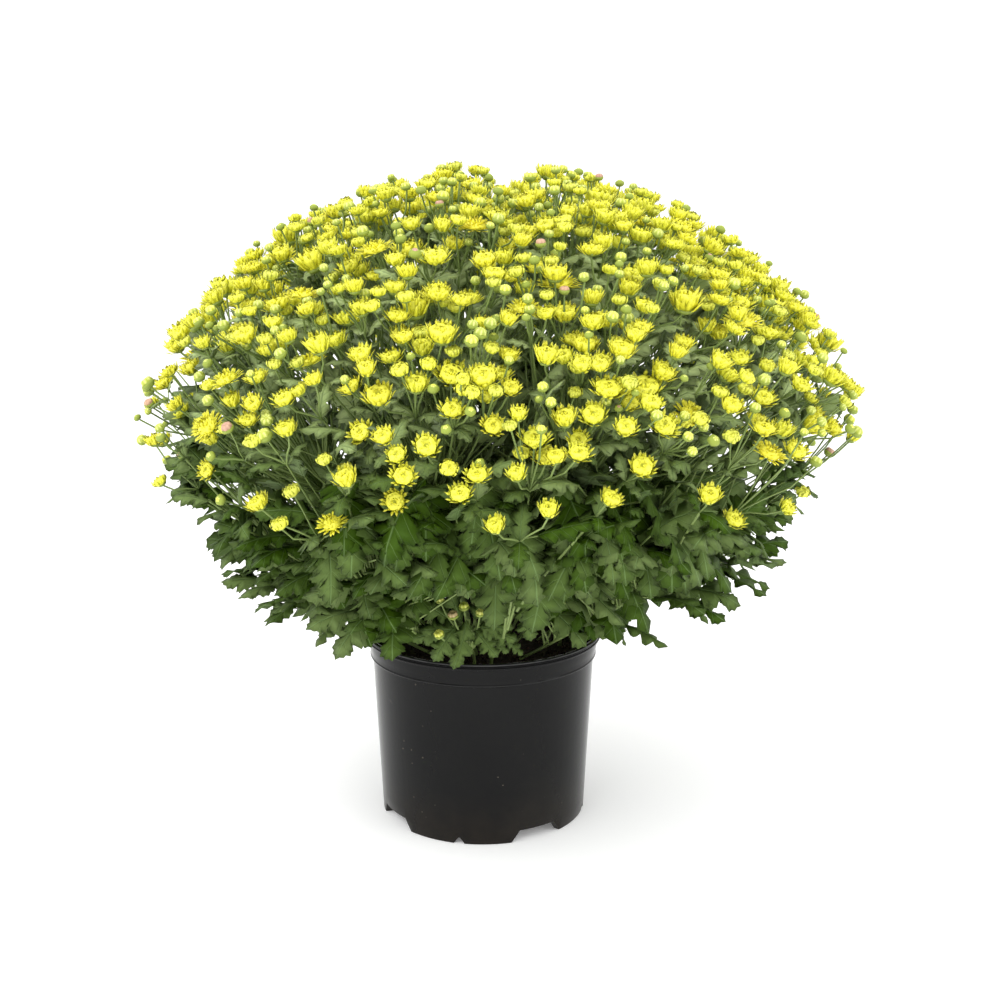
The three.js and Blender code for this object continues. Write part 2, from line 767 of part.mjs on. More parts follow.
function makePot() {
  const underFloor = POT_Z.floor;
  const floorTop = underFloor + FLOOR_THICKNESS;
  const profile = [
    [0, underFloor],
    [POT.base - FOOT_WIDTH - 2, underFloor],
    [POT.base - FOOT_WIDTH, 0],
    [POT.base, 0],
    [POT.neck, POT_Z.neck],
    [POT.band, POT_Z.neck + 0.5],
    [POT.rim, POT_Z.rim],
    [POT.lip, POT_Z.rim + 0.5],
    [POT.lip, POT_Z.top],
    [boreRadius(POT_Z.top), POT_Z.top],
    [boreRadius(POT_Z.neck), POT_Z.neck],
    [boreRadius(floorTop), floorTop],
    [0, floorTop],
  ];
  let pot = toManifold(revolve(profile, POT_SIDES));
  for (let quarter = 0; quarter < 4; quarter += 1) {
    const turn = quarter * 90;
    const gap = { ...GAP_BETWEEN_FEET, angle: GAP_BETWEEN_FEET.angle + turn };
    const notch = { ...NOTCH_IN_FOOT, angle: NOTCH_IN_FOOT.angle + turn };
    pot = pot.subtract(toManifold(footCut(gap, false)));
    pot = pot.subtract(toManifold(footCut(notch, true)));
    const hole = new THREE.CylinderGeometry(DRAIN_HOLE.radius, DRAIN_HOLE.radius, 20, DRAIN_HOLE.sides);
    hole.rotateX(Math.PI / 2);
    hole.translate(0, -DRAIN_HOLE.fromAxis, underFloor);
    hole.rotateZ(radians(GAP_BETWEEN_FEET.angle + turn));
    pot = pot.subtract(toManifold(hole));
  }
  return finished(fromManifold(pot).translate(POT_X, 0, 0), 'pot', FINISH.pot);
}

// A three-sided hole that a stem stands in.
function stemHole(foot, depth, turn) {
  const body = new Body();
  const upright = frameOf(UP);
  const radius = STEM.radius + 2 * CLEARANCE;
  const bottom = body.ring(along(foot, UP, -depth - CLEARANCE), upright, radius, 3, turn);
  const top = body.ring(along(foot, UP, 12), upright, radius, 3, turn);
  body.cap([...bottom].reverse());
  body.band(bottom, top);
  body.cap(top);
  return body.solid();
}

function makeSoil() {
  const body = new Body();
  const upright = frameOf(UP);
  const middle = new THREE.Vector3(POT_X, 0, 0);
  const bottomZ = POT_Z.floor + FLOOR_THICKNESS + CLEARANCE;
  const roughRing = (radius, count, channel) => {
    const ring = body.ring(along(middle, UP, SOIL_Z), upright, radius, count);
    ring.forEach((number, k) => {
      body.points[number].z += SOIL_ROUGHNESS * (2 * chance(k, channel) - 1);
    });
    return ring;
  };
  const bottom = body.ring(along(middle, UP, bottomZ), upright, boreRadius(bottomZ) - 1, 24);
  const rim = roughRing(boreRadius(POT_Z.neck) - 1, 24, 31);
  const outer = roughRing(76, 18, 32);
  const inner = body.ring(along(middle, UP, SOIL_Z), upright, 52, 12);
  body.cap([...bottom].reverse());
  body.band(bottom, rim);
  body.band(rim, outer);
  body.band(outer, inner);
  body.cap(inner);
  let soil = body.solid();
  for (const cell of cells) {
    const turn = Math.atan2(cell.frame.side.y, cell.frame.side.x);
    soil = soil.subtract(stemHole(soilPlace(cell), STEM.depth, turn));
  }
  for (const shoot of SHOOTS) {
    const root = fromPot(shoot.root);
    const turn = Math.atan2(shoot.crook[1], shoot.crook[0]) + Math.PI / 2;
    soil = soil.subtract(stemHole(root, STEM.depth * 0.6, turn));
  }
  return finished(fromManifold(soil), 'potting_soil', FINISH.soil);
}

// ---------------------------------------------------------------- the whole plant

placeHeads();

const plant = new THREE.Group();
plant.add(makePot(), makeSoil());
cells.forEach((cell, number) => plant.add(makeStem(cell, number), makeSpray(cell, number)));
SHOOTS.forEach((shoot) => plant.add(makeShoot(shoot)));

export default plant;
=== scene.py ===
# %% [markdown]
# # A pot chrysanthemum
# A garden chrysanthemum is a dome of several hundred small yellow blooms on thin stalks. Under them sit
# dark lobed leaves, and the whole bush stands in a black nursery pot. A plant like this could be sculpted
# by hand, but it follows rules: stems share out the dome, each stem carries a spray of blooms, and each
# bloom is a spiral of petals. So this lesson writes the rules down and lets them place the pieces.

# %% The frame
import json
import math

import bmesh
import bpy
import numpy as np
from mathutils import Matrix, Vector, noise

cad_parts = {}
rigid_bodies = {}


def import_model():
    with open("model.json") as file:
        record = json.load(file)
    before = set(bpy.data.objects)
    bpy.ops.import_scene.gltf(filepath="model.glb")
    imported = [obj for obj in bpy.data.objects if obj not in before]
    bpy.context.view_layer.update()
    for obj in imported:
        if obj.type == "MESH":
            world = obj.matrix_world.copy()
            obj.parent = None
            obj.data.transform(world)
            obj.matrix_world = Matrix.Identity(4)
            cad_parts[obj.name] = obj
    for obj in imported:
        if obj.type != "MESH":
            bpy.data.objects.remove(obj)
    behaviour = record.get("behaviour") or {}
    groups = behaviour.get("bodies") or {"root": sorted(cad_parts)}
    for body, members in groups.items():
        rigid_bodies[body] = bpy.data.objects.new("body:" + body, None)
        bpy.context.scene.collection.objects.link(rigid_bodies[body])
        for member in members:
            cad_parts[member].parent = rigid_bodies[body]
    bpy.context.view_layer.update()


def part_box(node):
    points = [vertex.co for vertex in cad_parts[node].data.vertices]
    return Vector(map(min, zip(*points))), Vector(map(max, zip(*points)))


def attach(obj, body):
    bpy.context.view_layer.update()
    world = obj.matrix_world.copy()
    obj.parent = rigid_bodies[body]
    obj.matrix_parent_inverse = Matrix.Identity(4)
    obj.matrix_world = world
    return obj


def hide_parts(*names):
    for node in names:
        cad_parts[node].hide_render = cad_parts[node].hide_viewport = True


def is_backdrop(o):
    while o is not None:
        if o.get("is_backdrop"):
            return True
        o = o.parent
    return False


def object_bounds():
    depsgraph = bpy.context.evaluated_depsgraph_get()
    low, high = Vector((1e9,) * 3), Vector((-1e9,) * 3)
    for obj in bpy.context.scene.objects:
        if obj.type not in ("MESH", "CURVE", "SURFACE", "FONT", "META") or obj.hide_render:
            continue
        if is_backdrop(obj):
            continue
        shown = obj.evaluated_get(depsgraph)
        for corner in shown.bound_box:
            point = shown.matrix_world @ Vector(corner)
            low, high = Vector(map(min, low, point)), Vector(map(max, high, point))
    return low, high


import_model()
scene = bpy.context.scene
plain_solids = set(scene.objects)
mm = 0.001
pot_low, pot_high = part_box("pot")
pot_x = (pot_low.x + pot_high.x) / 2

# %% [markdown]
# ## Camera, floor and light
# A catalogue picture of a plant is taken from a little above the blooms, in soft light from all sides.
# The camera stands about a metre away. The world is an even white, and one large lamp above and to the
# left gives the blooms a lit side. A second, weaker lamp on the right keeps the shaded side open. The
# floor glows faintly, so that the shadow of the plant stays pale.

# %% Camera
CAMERA_PLACE = (-0.0089, -1.1, 0.501)
CAMERA_TURN = (78.27, 0.0, -0.44)
CAMERA_LENS = 47.6

camera_data = bpy.data.cameras.new("camera")
camera_data.lens = CAMERA_LENS
camera = bpy.data.objects.new("camera", camera_data)
camera.location = CAMERA_PLACE
camera.rotation_euler = [math.radians(angle) for angle in CAMERA_TURN]
scene.collection.objects.link(camera)
scene.camera = camera

# %% Light
LAMPS = {
    "key_lamp": {"place": Vector((-1.1, -1.3, 2.1)), "size": 1.6, "power": 30},
    "side_lamp": {"place": Vector((1.7, -0.9, 1.2)), "size": 1.4, "power": 9},
}
LAMP_AIM = Vector((0, 0, 0.33))
WORLD_STRENGTH = 1.24

for name, lamp in LAMPS.items():
    data = bpy.data.lights.new(name, "AREA")
    data.size = lamp["size"]
    data.energy = lamp["power"]
    light = bpy.data.objects.new(name, data)
    light.location = lamp["place"]
    light.rotation_euler = (LAMP_AIM - lamp["place"]).to_track_quat("-Z", "Y").to_euler()
    scene.collection.objects.link(light)

world = bpy.data.worlds.new("studio")
world.use_nodes = True
background = world.node_tree.nodes["Background"]
background.inputs["Color"].default_value = (1, 1, 1, 1)
background.inputs["Strength"].default_value = WORLD_STRENGTH
scene.world = world
scene.view_settings.view_transform = "Standard"
print(len(LAMPS), "lamps and a white world")

# %% [markdown]
# ## Writing node trees as Python
# Both the finishes and the growing rules below are node trees. Placing nodes one by one in code is hard
# to read, so a small class stands for one output of a node, and sums or products of such wires add the
# Math nodes. A second class stands for the sheet that the nodes are drawn on.

# %% Node sheets
class Wire:
    """One output of a node. Arithmetic on wires adds Math nodes to their sheet."""

    def __init__(self, sheet, socket):
        self.sheet = sheet
        self.socket = socket

    def out(self, name):
        return Wire(self.sheet, Sheet.find(self.socket.node.outputs, name))

    def __add__(self, other):
        return self.sheet.maths("ADD", self, other)

    def __sub__(self, other):
        return self.sheet.maths("SUBTRACT", self, other)

    def __rsub__(self, other):
        return self.sheet.maths("SUBTRACT", other, self)

    def __mul__(self, other):
        return self.sheet.maths("MULTIPLY", self, other)

    def __truediv__(self, other):
        return self.sheet.maths("DIVIDE", self, other)

    def __pow__(self, other):
        return self.sheet.maths("POWER", self, other)

    __radd__ = __add__
    __rmul__ = __mul__


class Sheet:
    """A node tree to write on."""

    def __init__(self, tree):
        self.tree = tree
        tree.nodes.clear()

    @staticmethod
    def find(sockets, name):
        return next(socket for socket in sockets if socket.name == name and socket.enabled)

    def node(self, kind, values=None, stops=(), **settings):
        """Makes a node, with its settings first and then the values or links of its sockets."""
        node = self.tree.nodes.new(kind)
        for name, value in settings.items():
            setattr(node, name, value)
        for number, (position, colour) in enumerate(stops):
            marks = node.color_ramp.elements
            mark = marks[number] if number < len(marks) else marks.new(position)
            mark.position = position
            mark.color = (*colour, 1)
        for name, value in (values or {}).items():
            socket = self.find(node.inputs, name)
            for wire in value if isinstance(value, list) else [value]:
                if isinstance(wire, Wire):
                    self.tree.links.new(wire.socket, socket)
                else:
                    socket.default_value = wire
        outputs = [socket for socket in node.outputs if socket.enabled]
        return Wire(self, outputs[0]) if outputs else None

    def maths(self, operation, first, second=0.0, clamp=False):
        node = self.tree.nodes.new("ShaderNodeMath")
        node.operation = operation
        node.use_clamp = clamp
        for socket, value in zip(node.inputs, (first, second)):
            if isinstance(value, Wire):
                self.tree.links.new(value.socket, socket)
            else:
                socket.default_value = value
        return Wire(self, node.outputs[0])

    def clamped(self, wire):
        return self.maths("ADD", wire, 0.0, clamp=True)

    def mixed(self, factor, first, second):
        """A colour between two colours, given as wires or as (red, green, blue)."""
        values = {"Factor": factor}
        for name, colour in (("A", first), ("B", second)):
            values[name] = colour if isinstance(colour, Wire) else (*colour, 1)
        return self.node("ShaderNodeMix", values, data_type="RGBA")

    def attribute(self, name):
        """A number that the mesh carries."""
        return self.node("ShaderNodeAttribute", attribute_name=name).out("Fac")

    def noise(self, scale, detail=2.0, place=None):
        """Cloudy noise from 0 to 1. The scale counts its lumps to the metre."""
        place = place or self.node("ShaderNodeTexCoord").out("Object")
        return self.node("ShaderNodeTexNoise", {"Vector": place, "Scale": scale, "Detail": detail})


def new_finish(name):
    material = bpy.data.materials.new(name)
    material.use_nodes = True
    return material, Sheet(material.node_tree)


def seal(sheet, colour, roughness, height=None, depth=0.0, fixed=None):
    """Ends a finish: height, in units of depth, becomes bump, and fixed values go on the shader itself."""
    values = {"Base Color": colour, "Roughness": roughness, **(fixed or {})}
    if height is not None:
        values["Normal"] = sheet.node("ShaderNodeBump", {"Height": height, "Distance": depth})
    shader = sheet.node("ShaderNodeBsdfPrincipled", values)
    sheet.node("ShaderNodeOutputMaterial", {"Surface": shader})


# %% Growing with Geometry Nodes
def plan(name, inputs):
    """An empty growing rule: a sheet, and the wire of its inputs."""
    tree = bpy.data.node_groups.new(name, "GeometryNodeTree")
    tree.interface.new_socket("Geometry", in_out="INPUT", socket_type="NodeSocketGeometry")
    for label, kind in inputs.items():
        tree.interface.new_socket(label, in_out="INPUT", socket_type="NodeSocket" + kind)
    tree.interface.new_socket("Geometry", in_out="OUTPUT", socket_type="NodeSocketGeometry")
    sheet = Sheet(tree)
    return sheet, sheet.node("NodeGroupInput")


def grown(name, mesh, sheet, values):
    """Runs a growing rule on a mesh, and returns a piece that holds the result as a plain mesh."""
    piece = bpy.data.objects.new(name, mesh)
    scene.collection.objects.link(piece)
    modifier = piece.modifiers.new("grow", "NODES")
    modifier.node_group = sheet.tree
    for item in sheet.tree.interface.items_tree:
        if item.in_out == "INPUT" and item.name in values:
            modifier[item.identifier] = values[item.name]
    evaluated = piece.evaluated_get(bpy.context.evaluated_depsgraph_get())
    plain = bpy.data.meshes.new_from_object(evaluated)
    piece.modifiers.clear()
    piece.data = plain
    plain.name = name
    return piece


def named(sheet, name, kind="FLOAT"):
    return sheet.node("GeometryNodeInputNamedAttribute", {"Name": name}, data_type=kind)


# %% Meshes from lists
def make_mesh(name, points, faces, edges=()):
    mesh = bpy.data.meshes.new(name)
    mesh.from_pydata([tuple(point) for point in points], list(edges), list(faces))
    return mesh


def tidied(mesh):
    """Turns a closed mesh's faces outwards and smooths it."""
    shape = bmesh.new()
    shape.from_mesh(mesh)
    bmesh.ops.recalc_face_normals(shape, faces=shape.faces)
    shape.to_mesh(mesh)
    shape.free()
    mesh.shade_smooth()
    return mesh


def carry(mesh, name, values, kind="FLOAT", domain="POINT"):
    """Gives a mesh one value for each of its points or faces."""
    mesh.attributes.new(name, kind, domain).data.foreach_set("value", np.asarray(values).ravel())


def ring_faces(rings):
    """The faces between rings of points that lie on one another. A ring may be a single point."""
    sides = max(len(ring) for ring in rings)
    faces = []
    for lower, upper in zip(rings, rings[1:]):
        for k in range(sides):
            after = (k + 1) % sides
            corners = (lower[k % len(lower)], lower[after % len(lower)],
                       upper[after % len(upper)], upper[k % len(upper)])
            faces.append(list(dict.fromkeys(corners)))
    return faces


def spun(name, profile, turns, place):
    """A closed turned shape. Its profile runs from the axis to the axis, as (from axis, height), and
    place gives the point that a place of the profile has at one of the turns."""
    points = []
    rings = []
    for radius, height in profile:
        stops = turns if radius else turns[:1]
        rings.append(range(len(points), len(points) + len(stops)))
        points += [place(radius, height, turn) for turn in stops]
    return tidied(make_mesh(name, points, ring_faces(rings)))


def lathe(name, profile, sides, scallop=0.0):
    """A turned shape whose sides can be scalloped."""
    def place(radius, height, k):
        turn = 2 * math.pi * k / sides
        wave = radius * (1 + scallop * (-1) ** k)
        return (wave * math.cos(turn), wave * math.sin(turn), height)

    return spun(name, profile, range(sides), place)


def kit(name, meshes):
    """A collection of the shapes that a growing rule picks from, in the order given."""
    collection = bpy.data.collections.new(name)
    scene.collection.children.link(collection)
    for number, mesh in enumerate(meshes):
        collection.objects.link(bpy.data.objects.new(f"{name}_{number:02d}", mesh))
    return collection


# %% [markdown]
# ## The dome's rules
# The crown is an ellipsoid on a pot that stands a little off its middle. Every stem aims away from one
# point under the soil, the apex, so stems fan out and never cross. These are the same rules and numbers
# that shaped the solids of this part, so each fine bloom lands where its plain solid was.

# %% Chance and directions
APEX = np.array([pot_x, 0, 0.113])
MIDDLE = np.array([0, 0, 0.354])
UPPER = np.array([0.299, 0.299, 0.201])
LOWER = np.array([0.299, 0.299, 0.245])
FURROW = {"x": 0.004, "depth": 0.020, "width": 0.017, "length": 0.130}
SOIL_Z = 0.143
CLEARANCE = 0.0003
UP = np.array([0.0, 0.0, 1.0])


def chance(index, channel):
    """An even number from 0 to 1 that depends only on the two counts given."""
    low = np.uint64(0xFFFFFFFF)
    counts = np.asarray(index).astype(np.uint64) + np.uint64(1)
    bits = (counts * np.uint64(0x9E3779B1) ^ np.uint64((channel + 7) * 0x85EBCA6B & 0xFFFFFFFF)) & low
    bits = ((bits ^ (bits >> np.uint64(15))) * np.uint64(0x2C1B3C6D)) & low
    bits = ((bits ^ (bits >> np.uint64(12))) * np.uint64(0x297A2D39)) & low
    bits = bits ^ (bits >> np.uint64(15))
    return bits / 4294967296.0


def unit(vectors):
    vectors = np.asarray(vectors, float)
    return vectors / np.maximum(np.linalg.norm(vectors, axis=-1, keepdims=True), 1e-12)


def ramp(value, start, end):
    """How far a value has come on its way from start to end, from 0 to 1."""
    return np.clip((value - start) / (end - start), 0, 1)


def sideness(place):
    """How far to the left or right a place lies: 0 in front and behind, 1 at the sides."""
    return place[..., 0] ** 2 / (place[..., 0] ** 2 + place[..., 1] ** 2)


def heading(tilt, turn):
    """Unit vectors, by their angle from upright and their angle round +Z from +X."""
    flat = np.sin(tilt)
    return np.stack([flat * np.cos(turn), flat * np.sin(turn), np.cos(tilt) + 0 * turn], axis=-1)


def frame_of(axis):
    """Two directions square to an axis: side lies level, and rise is the steeper one."""
    side = np.cross(UP, axis)
    if np.linalg.norm(side) < 1e-6:
        side = np.array([1.0, 0.0, 0.0])
    side = unit(side)
    return side, np.cross(axis, side)


def lean(axis, angle, turn):
    """A unit vector at an angle from an axis, turned round it from its side towards its rise."""
    side, rise = frame_of(axis)
    return math.cos(angle) * axis + math.sin(angle) * (math.cos(turn) * side + math.sin(turn) * rise)


def reach(direction):
    """The distance from the apex to the crown's surface."""
    distance = 0.0
    for half_axes in (UPPER, LOWER):
        start = (APEX - MIDDLE) / half_axes
        step = direction / half_axes
        half = start @ step / (step @ step)
        rest = (start @ start - 1) / (step @ step)
        distance = -half + math.sqrt(max(half * half - rest, 0))
        if APEX[2] + distance * direction[2] >= MIDDLE[2]:
            break
    return distance


# %% Stems share out the dome
CELL_RINGS = ((1, 0, 0), (6, 21, 12), (10, 40, 5), (11, 58, 16), (11, 74, 16))
SKIRT_TILT = 58
HUB_AT = 0.76

cell_axes = []
cell_tilts = []
cell_turns = []
for count, tilt, first_turn in CELL_RINGS:
    for k in range(count):
        turn = math.radians(first_turn + k * 360 / count)
        cell_axes.append(heading(math.radians(tilt), np.float64(turn)))
        cell_tilts.append(tilt)
        cell_turns.append(turn)
all_axes = np.array(cell_axes)
CELLS = len(all_axes) - CELL_RINGS[-1][0]
axes = all_axes[:CELLS]
reaches = np.array([reach(axis) for axis in axes])
hubs = APEX + axes * (reaches * HUB_AT + CLEARANCE)[:, None]
print(CELLS, "stems")


def edge_angle(cell, turn):
    """The angle from a cell's axis to its border, in one direction round the axis."""
    outward = lean(axes[cell], math.pi / 2, turn)
    slopes = all_axes @ outward
    drops = 1 - all_axes @ axes[cell]
    near = (slopes > 1e-9) & (np.arange(len(all_axes)) != cell)
    return min(math.pi / 2, np.arctan2(drops[near], slopes[near]).min())


# %% [markdown]
# ## Where the heads are
# Heads are thrown at the crown in a fixed order, and each stays where it finds room between its
# neighbours and clear of their stalks. Low on the crown they grow thin. Blooms come first, then buds,
# and small late blooms fill what room is left. A real dome isn't even, so the small heads leave gaps,
# grow thinner on its sides and its top, and thinnest in a hollow on the left and the right.

# %% Sizes of heads
HEAD_SIZES = {
    "bloom": {"smallest": 9.5, "range": 4.0, "depth": 1.25, "guard": 1.08, "sunk": (0, 26), "rise": 0},
    "open": {"smallest": 15.0, "range": 2.5, "depth": 0.62, "guard": 1.08, "sunk": (0, 26), "rise": 0},
    "bud": {"smallest": 4.6, "range": 1.4, "depth": 1.7, "guard": 1.05, "sunk": (0, 22), "rise": 0},
    "small bloom": {"smallest": 5.2, "range": 4.4, "depth": 1.25, "guard": 1.08, "sunk": (1, 28), "rise": 6},
    "small bud": {"smallest": 2.8, "range": 1.7, "depth": 1.7, "guard": 1.05, "sunk": (2, 26), "rise": 3},
}
OPEN_SHARE = 0.16
SEATS = {"bud": 0.5, "bloom": 0.7}


def seat_of(sort):
    """The part of a head's depth that lies under its centre."""
    return SEATS["bud" if "bud" in sort else "bloom"]


# %% The dome's unevenness
THIN_OUT = {"first": (0.292, 0.345), "small": (0.34, 0.42)}
SIDE_THIN = {"most": 0.95, "from": 0.9375, "to": 0.3125}
TOP_THIN = {"most": 0.25, "from": 0.6, "to": 0.85}
HOLLOW = {"height": 0.388, "half": 0.04, "left": 0.9, "right": 0.35}
GAPS = {"apart": 0.045, "level": -0.21, "more at the sides": 0.16}
SHOULDER = {"sag": 0.012, "height": 0.47, "half": 0.09}


def side_sag(place):
    """How far the left and right shoulders of the dome lie below its ideal form."""
    off = np.abs(place[..., 2] - SHOULDER["height"])
    return SHOULDER["sag"] * sideness(place) * ramp(off, SHOULDER["half"], 0)


def is_gap(place):
    """Whether a place is in one of the gaps of the dome, which are wider to its left and right."""
    level = GAPS["level"] + GAPS["more at the sides"] * sideness(place)
    return noise.noise(Vector(place / GAPS["apart"])) < level


def small_share(centre, turn, level):
    """The share of small heads that grow at a place, which goes by its turn and level on the dome."""
    share = ramp(centre[:, 2], *THIN_OUT["small"])
    share *= 1 - SIDE_THIN["most"] * np.cos(turn) ** 2 * ramp(level, SIDE_THIN["from"], SIDE_THIN["to"])
    share *= 1 - TOP_THIN["most"] * ramp(level, TOP_THIN["from"], TOP_THIN["to"])
    near = ramp(np.abs(centre[:, 2] - HOLLOW["height"]), HOLLOW["half"], HOLLOW["half"] / 3)
    hollow = np.where(centre[:, 0] < 0, HOLLOW["left"], HOLLOW["right"])
    return share * (1 - hollow * near * np.abs(np.cos(turn)))


# %% Heads thrown at the crown
LOWEST_HEAD = math.radians(104)
LOOKS = {"from the hub": 0.5, "out of the dome": 0.4, "up": 0.35, "by chance": 0.5}
LOOK_UP = 0.42


def thrown_heads(first, tries, sort):
    """Candidate heads, as arrays, one entry for each throw."""
    is_small = "small" in sort
    index = np.arange(first, first + tries)
    level = 1 - chance(index, 1) * (1 - math.cos(LOWEST_HEAD))
    turn = 2 * math.pi * chance(index, 2)
    around = heading(np.arccos(level), turn)
    half_axes = np.where(level[:, None] > 0, UPPER, LOWER)
    point = half_axes * around + MIDDLE
    normal = unit(around / half_axes)
    across = (point[:, 0] - FURROW["x"]) / FURROW["width"]
    back = point[:, 1] / FURROW["length"]
    point[:, 2] -= FURROW["depth"] * np.exp(-across * across - back * back)
    is_open = (chance(index, 3) < OPEN_SHARE) & (sort == "bloom")
    size = HEAD_SIZES[sort]
    radius = (size["smallest"] + size["range"] * chance(index, 4)) * mm
    wide = HEAD_SIZES["open"]
    radius = np.where(is_open, (wide["smallest"] + wide["range"] * chance(index, 4)) * mm, radius)
    depth = radius * np.where(is_open, wide["depth"], size["depth"])
    sunk = (size["sunk"][0] + size["sunk"][1] * chance(index, 5) ** 2) * mm
    rise = size["rise"] * mm * np.clip(level, 0, 1) ** 4 * chance(index, 10)
    guard = radius * size["guard"]
    centre = point - normal * (guard + sunk)[:, None] + UP * rise[:, None]
    if is_small:
        centre -= normal * side_sag(centre)[:, None]
    cell = np.argmax((centre - APEX) @ axes.T, axis=1)
    from_hub = unit(centre - hubs[cell])
    axis = from_hub * LOOKS["from the hub"] + normal * LOOKS["out of the dome"] + UP * LOOKS["up"]
    axis += LOOKS["by chance"] * (np.stack([chance(index, channel) for channel in (6, 7, 8)], axis=1) - 0.5)
    axis = unit(unit(axis) + UP * LOOK_UP * is_small)
    base = centre - axis * (depth * seat_of(sort))[:, None]
    share = small_share(centre, turn, level) if is_small else ramp(centre[:, 2], *THIN_OUT["first"])
    return {
        "index": index, "is_open": is_open, "radius": radius, "depth": depth, "axis": axis, "guard": guard,
        "centre": centre, "base": base, "normal": normal, "cell": cell, "wins": chance(index, 9) < share,
    }


# %% Room among the heads
STALK_ROOM = 0.0023
STALK_DROP = 0.02
HEAD_ROOM = 0.0006
STALK_THROUGH = 0.7
FAR_APART = 0.16
heads = []


def segment_distances(points, starts, ends):
    """The distance of points from segments, one by one."""
    along = ends - starts
    part = np.sum((points - starts) * along, axis=-1) / np.sum(along * along, axis=-1)
    nearest = starts + np.clip(part, 0, 1)[..., None] * along
    return np.linalg.norm(points - nearest, axis=-1)


def gathered(name):
    return np.array([head[name] for head in heads])


def has_room(head, hub, closeness, clears_stalks):
    """Whether a head clears the heads that are already there, and their stalks if it has to."""
    if not heads:
        return True
    centres, guards = gathered("centre"), gathered("guard")
    apart = np.linalg.norm(centres - head["centre"], axis=1)
    if np.any(apart < (head["guard"] + guards) * closeness + HEAD_ROOM):
        return False
    if not clears_stalks:
        bases, drops = gathered("base"), gathered("axis") * STALK_DROP
        own = segment_distances(centres, head["base"] - head["axis"] * STALK_DROP, head["base"])
        others = segment_distances(head["centre"], bases - drops, bases)
        is_through = np.any(own < guards * STALK_THROUGH) or np.any(others < head["guard"] * STALK_THROUGH)
        return not is_through
    near = apart <= FAR_APART
    others = segment_distances(head["centre"], hubs[gathered("cell")][near], gathered("base")[near])
    own = segment_distances(centres[near], hub, head["base"])
    return not (np.any(others < head["guard"] + STALK_ROOM) or np.any(own < guards[near] + STALK_ROOM))


# %% Blooms and buds of the solid model
HEADS_PER_SPRAY = 24


def scatter(sort, first, wanted, tries, closeness=1.0, clears_stalks=True):
    """Throws heads until enough have found room."""
    thrown = thrown_heads(first, tries, sort)
    placed = 0
    for k in np.flatnonzero(thrown["wins"]):
        head = {name: values[k] for name, values in thrown.items()}
        if "small" in sort and is_gap(head["centre"]):
            continue
        is_full = clears_stalks and np.sum(gathered("cell") == head["cell"]) >= HEADS_PER_SPRAY
        if is_full or not has_room(head, hubs[head["cell"]], closeness, clears_stalks):
            continue
        head["sort"] = sort
        heads.append(head)
        placed += 1
        if placed == wanted:
            break
    print(placed, sort, "heads")


scatter("bloom", 0, 388, 20000)
scatter("bud", 50000, 40, 20000)

# %% [markdown]
# The solid model has as many heads as it can carry, and each is a little larger than life so that the
# dome reads as yellow. Here there is room for all of them: every head shrinks to its real size, except
# that some showy blooms stay large, and some low ones at the sides are still late buds. The dome isn't
# quite round either, so heads sink a little, in patches and on its shoulders. Smaller blooms and buds
# then fill the gaps, closer together and partly behind one another.

# %% Heads at their real size
REAL_SIZE = {"bloom": 0.78, "bud": 0.68, "late bud": 0.4}
SHOWY = {"share": 0.33, "more": 0.2}
LOW_BLOOM = {"from": 0.375, "to": 0.345, "less": 0.1}
LATE = {"left": 0.75, "right": 0.6, "from": 0.455, "to": 0.375}
SAG = {"depth": 0.009, "apart": 0.08, "level": 0.1}

for head in heads:
    place = head["centre"]
    most = LATE["left" if place[0] < 0 else "right"]
    late_share = most * ramp(place[2], LATE["from"], LATE["to"]) * sideness(place)
    if head["sort"] == "bloom" and not head["is_open"] and chance(head["index"], 46) < late_share:
        head["sort"] = "late bud"
    share = REAL_SIZE[head["sort"]]
    low = ramp(place[2], LOW_BLOOM["from"], LOW_BLOOM["to"])
    if head["sort"] == "bloom":
        is_showy = low == 0 and chance(head["index"], 47) < SHOWY["share"]
        share += SHOWY["more"] * is_showy - LOW_BLOOM["less"] * low
    patchy = noise.noise(Vector(place / SAG["apart"])) + SAG["level"]
    sag = SAG["depth"] * max(patchy, 0) + side_sag(place)
    head["centre"] = head["centre"] + head["normal"] * (head["guard"] * (1 - share) - sag)
    for name in ("radius", "depth", "guard"):
        head[name] = head[name] * share
    head["axis"] = unit(head["axis"] + UP * LOOK_UP)
    head["base"] = head["centre"] - head["axis"] * head["depth"] * seat_of(head["sort"])
print(sum(head["sort"] == "late bud" for head in heads), "blooms became late buds")

scatter("small bloom", 100000, 675, 60000, closeness=0.68, clears_stalks=False)
scatter("small bud", 200000, 400, 30000, closeness=0.74, clears_stalks=False)

# %% [markdown]
# ## Petals and blooms
# Most blooms are half open: a cup of narrow petals whose tips make a toothed rim, with a dimple in the
# middle. A few are fully open, and the rest are round buttons that have just begun. Each kind is given by
# one petal for each of its layers, from the innermost out, and by a closed core that fills the space
# behind them. Geometry Nodes then set petals round the axis at the golden angle, as the plant does, and
# pick the petal that fits each layer. Sizes are in radii of the bloom.

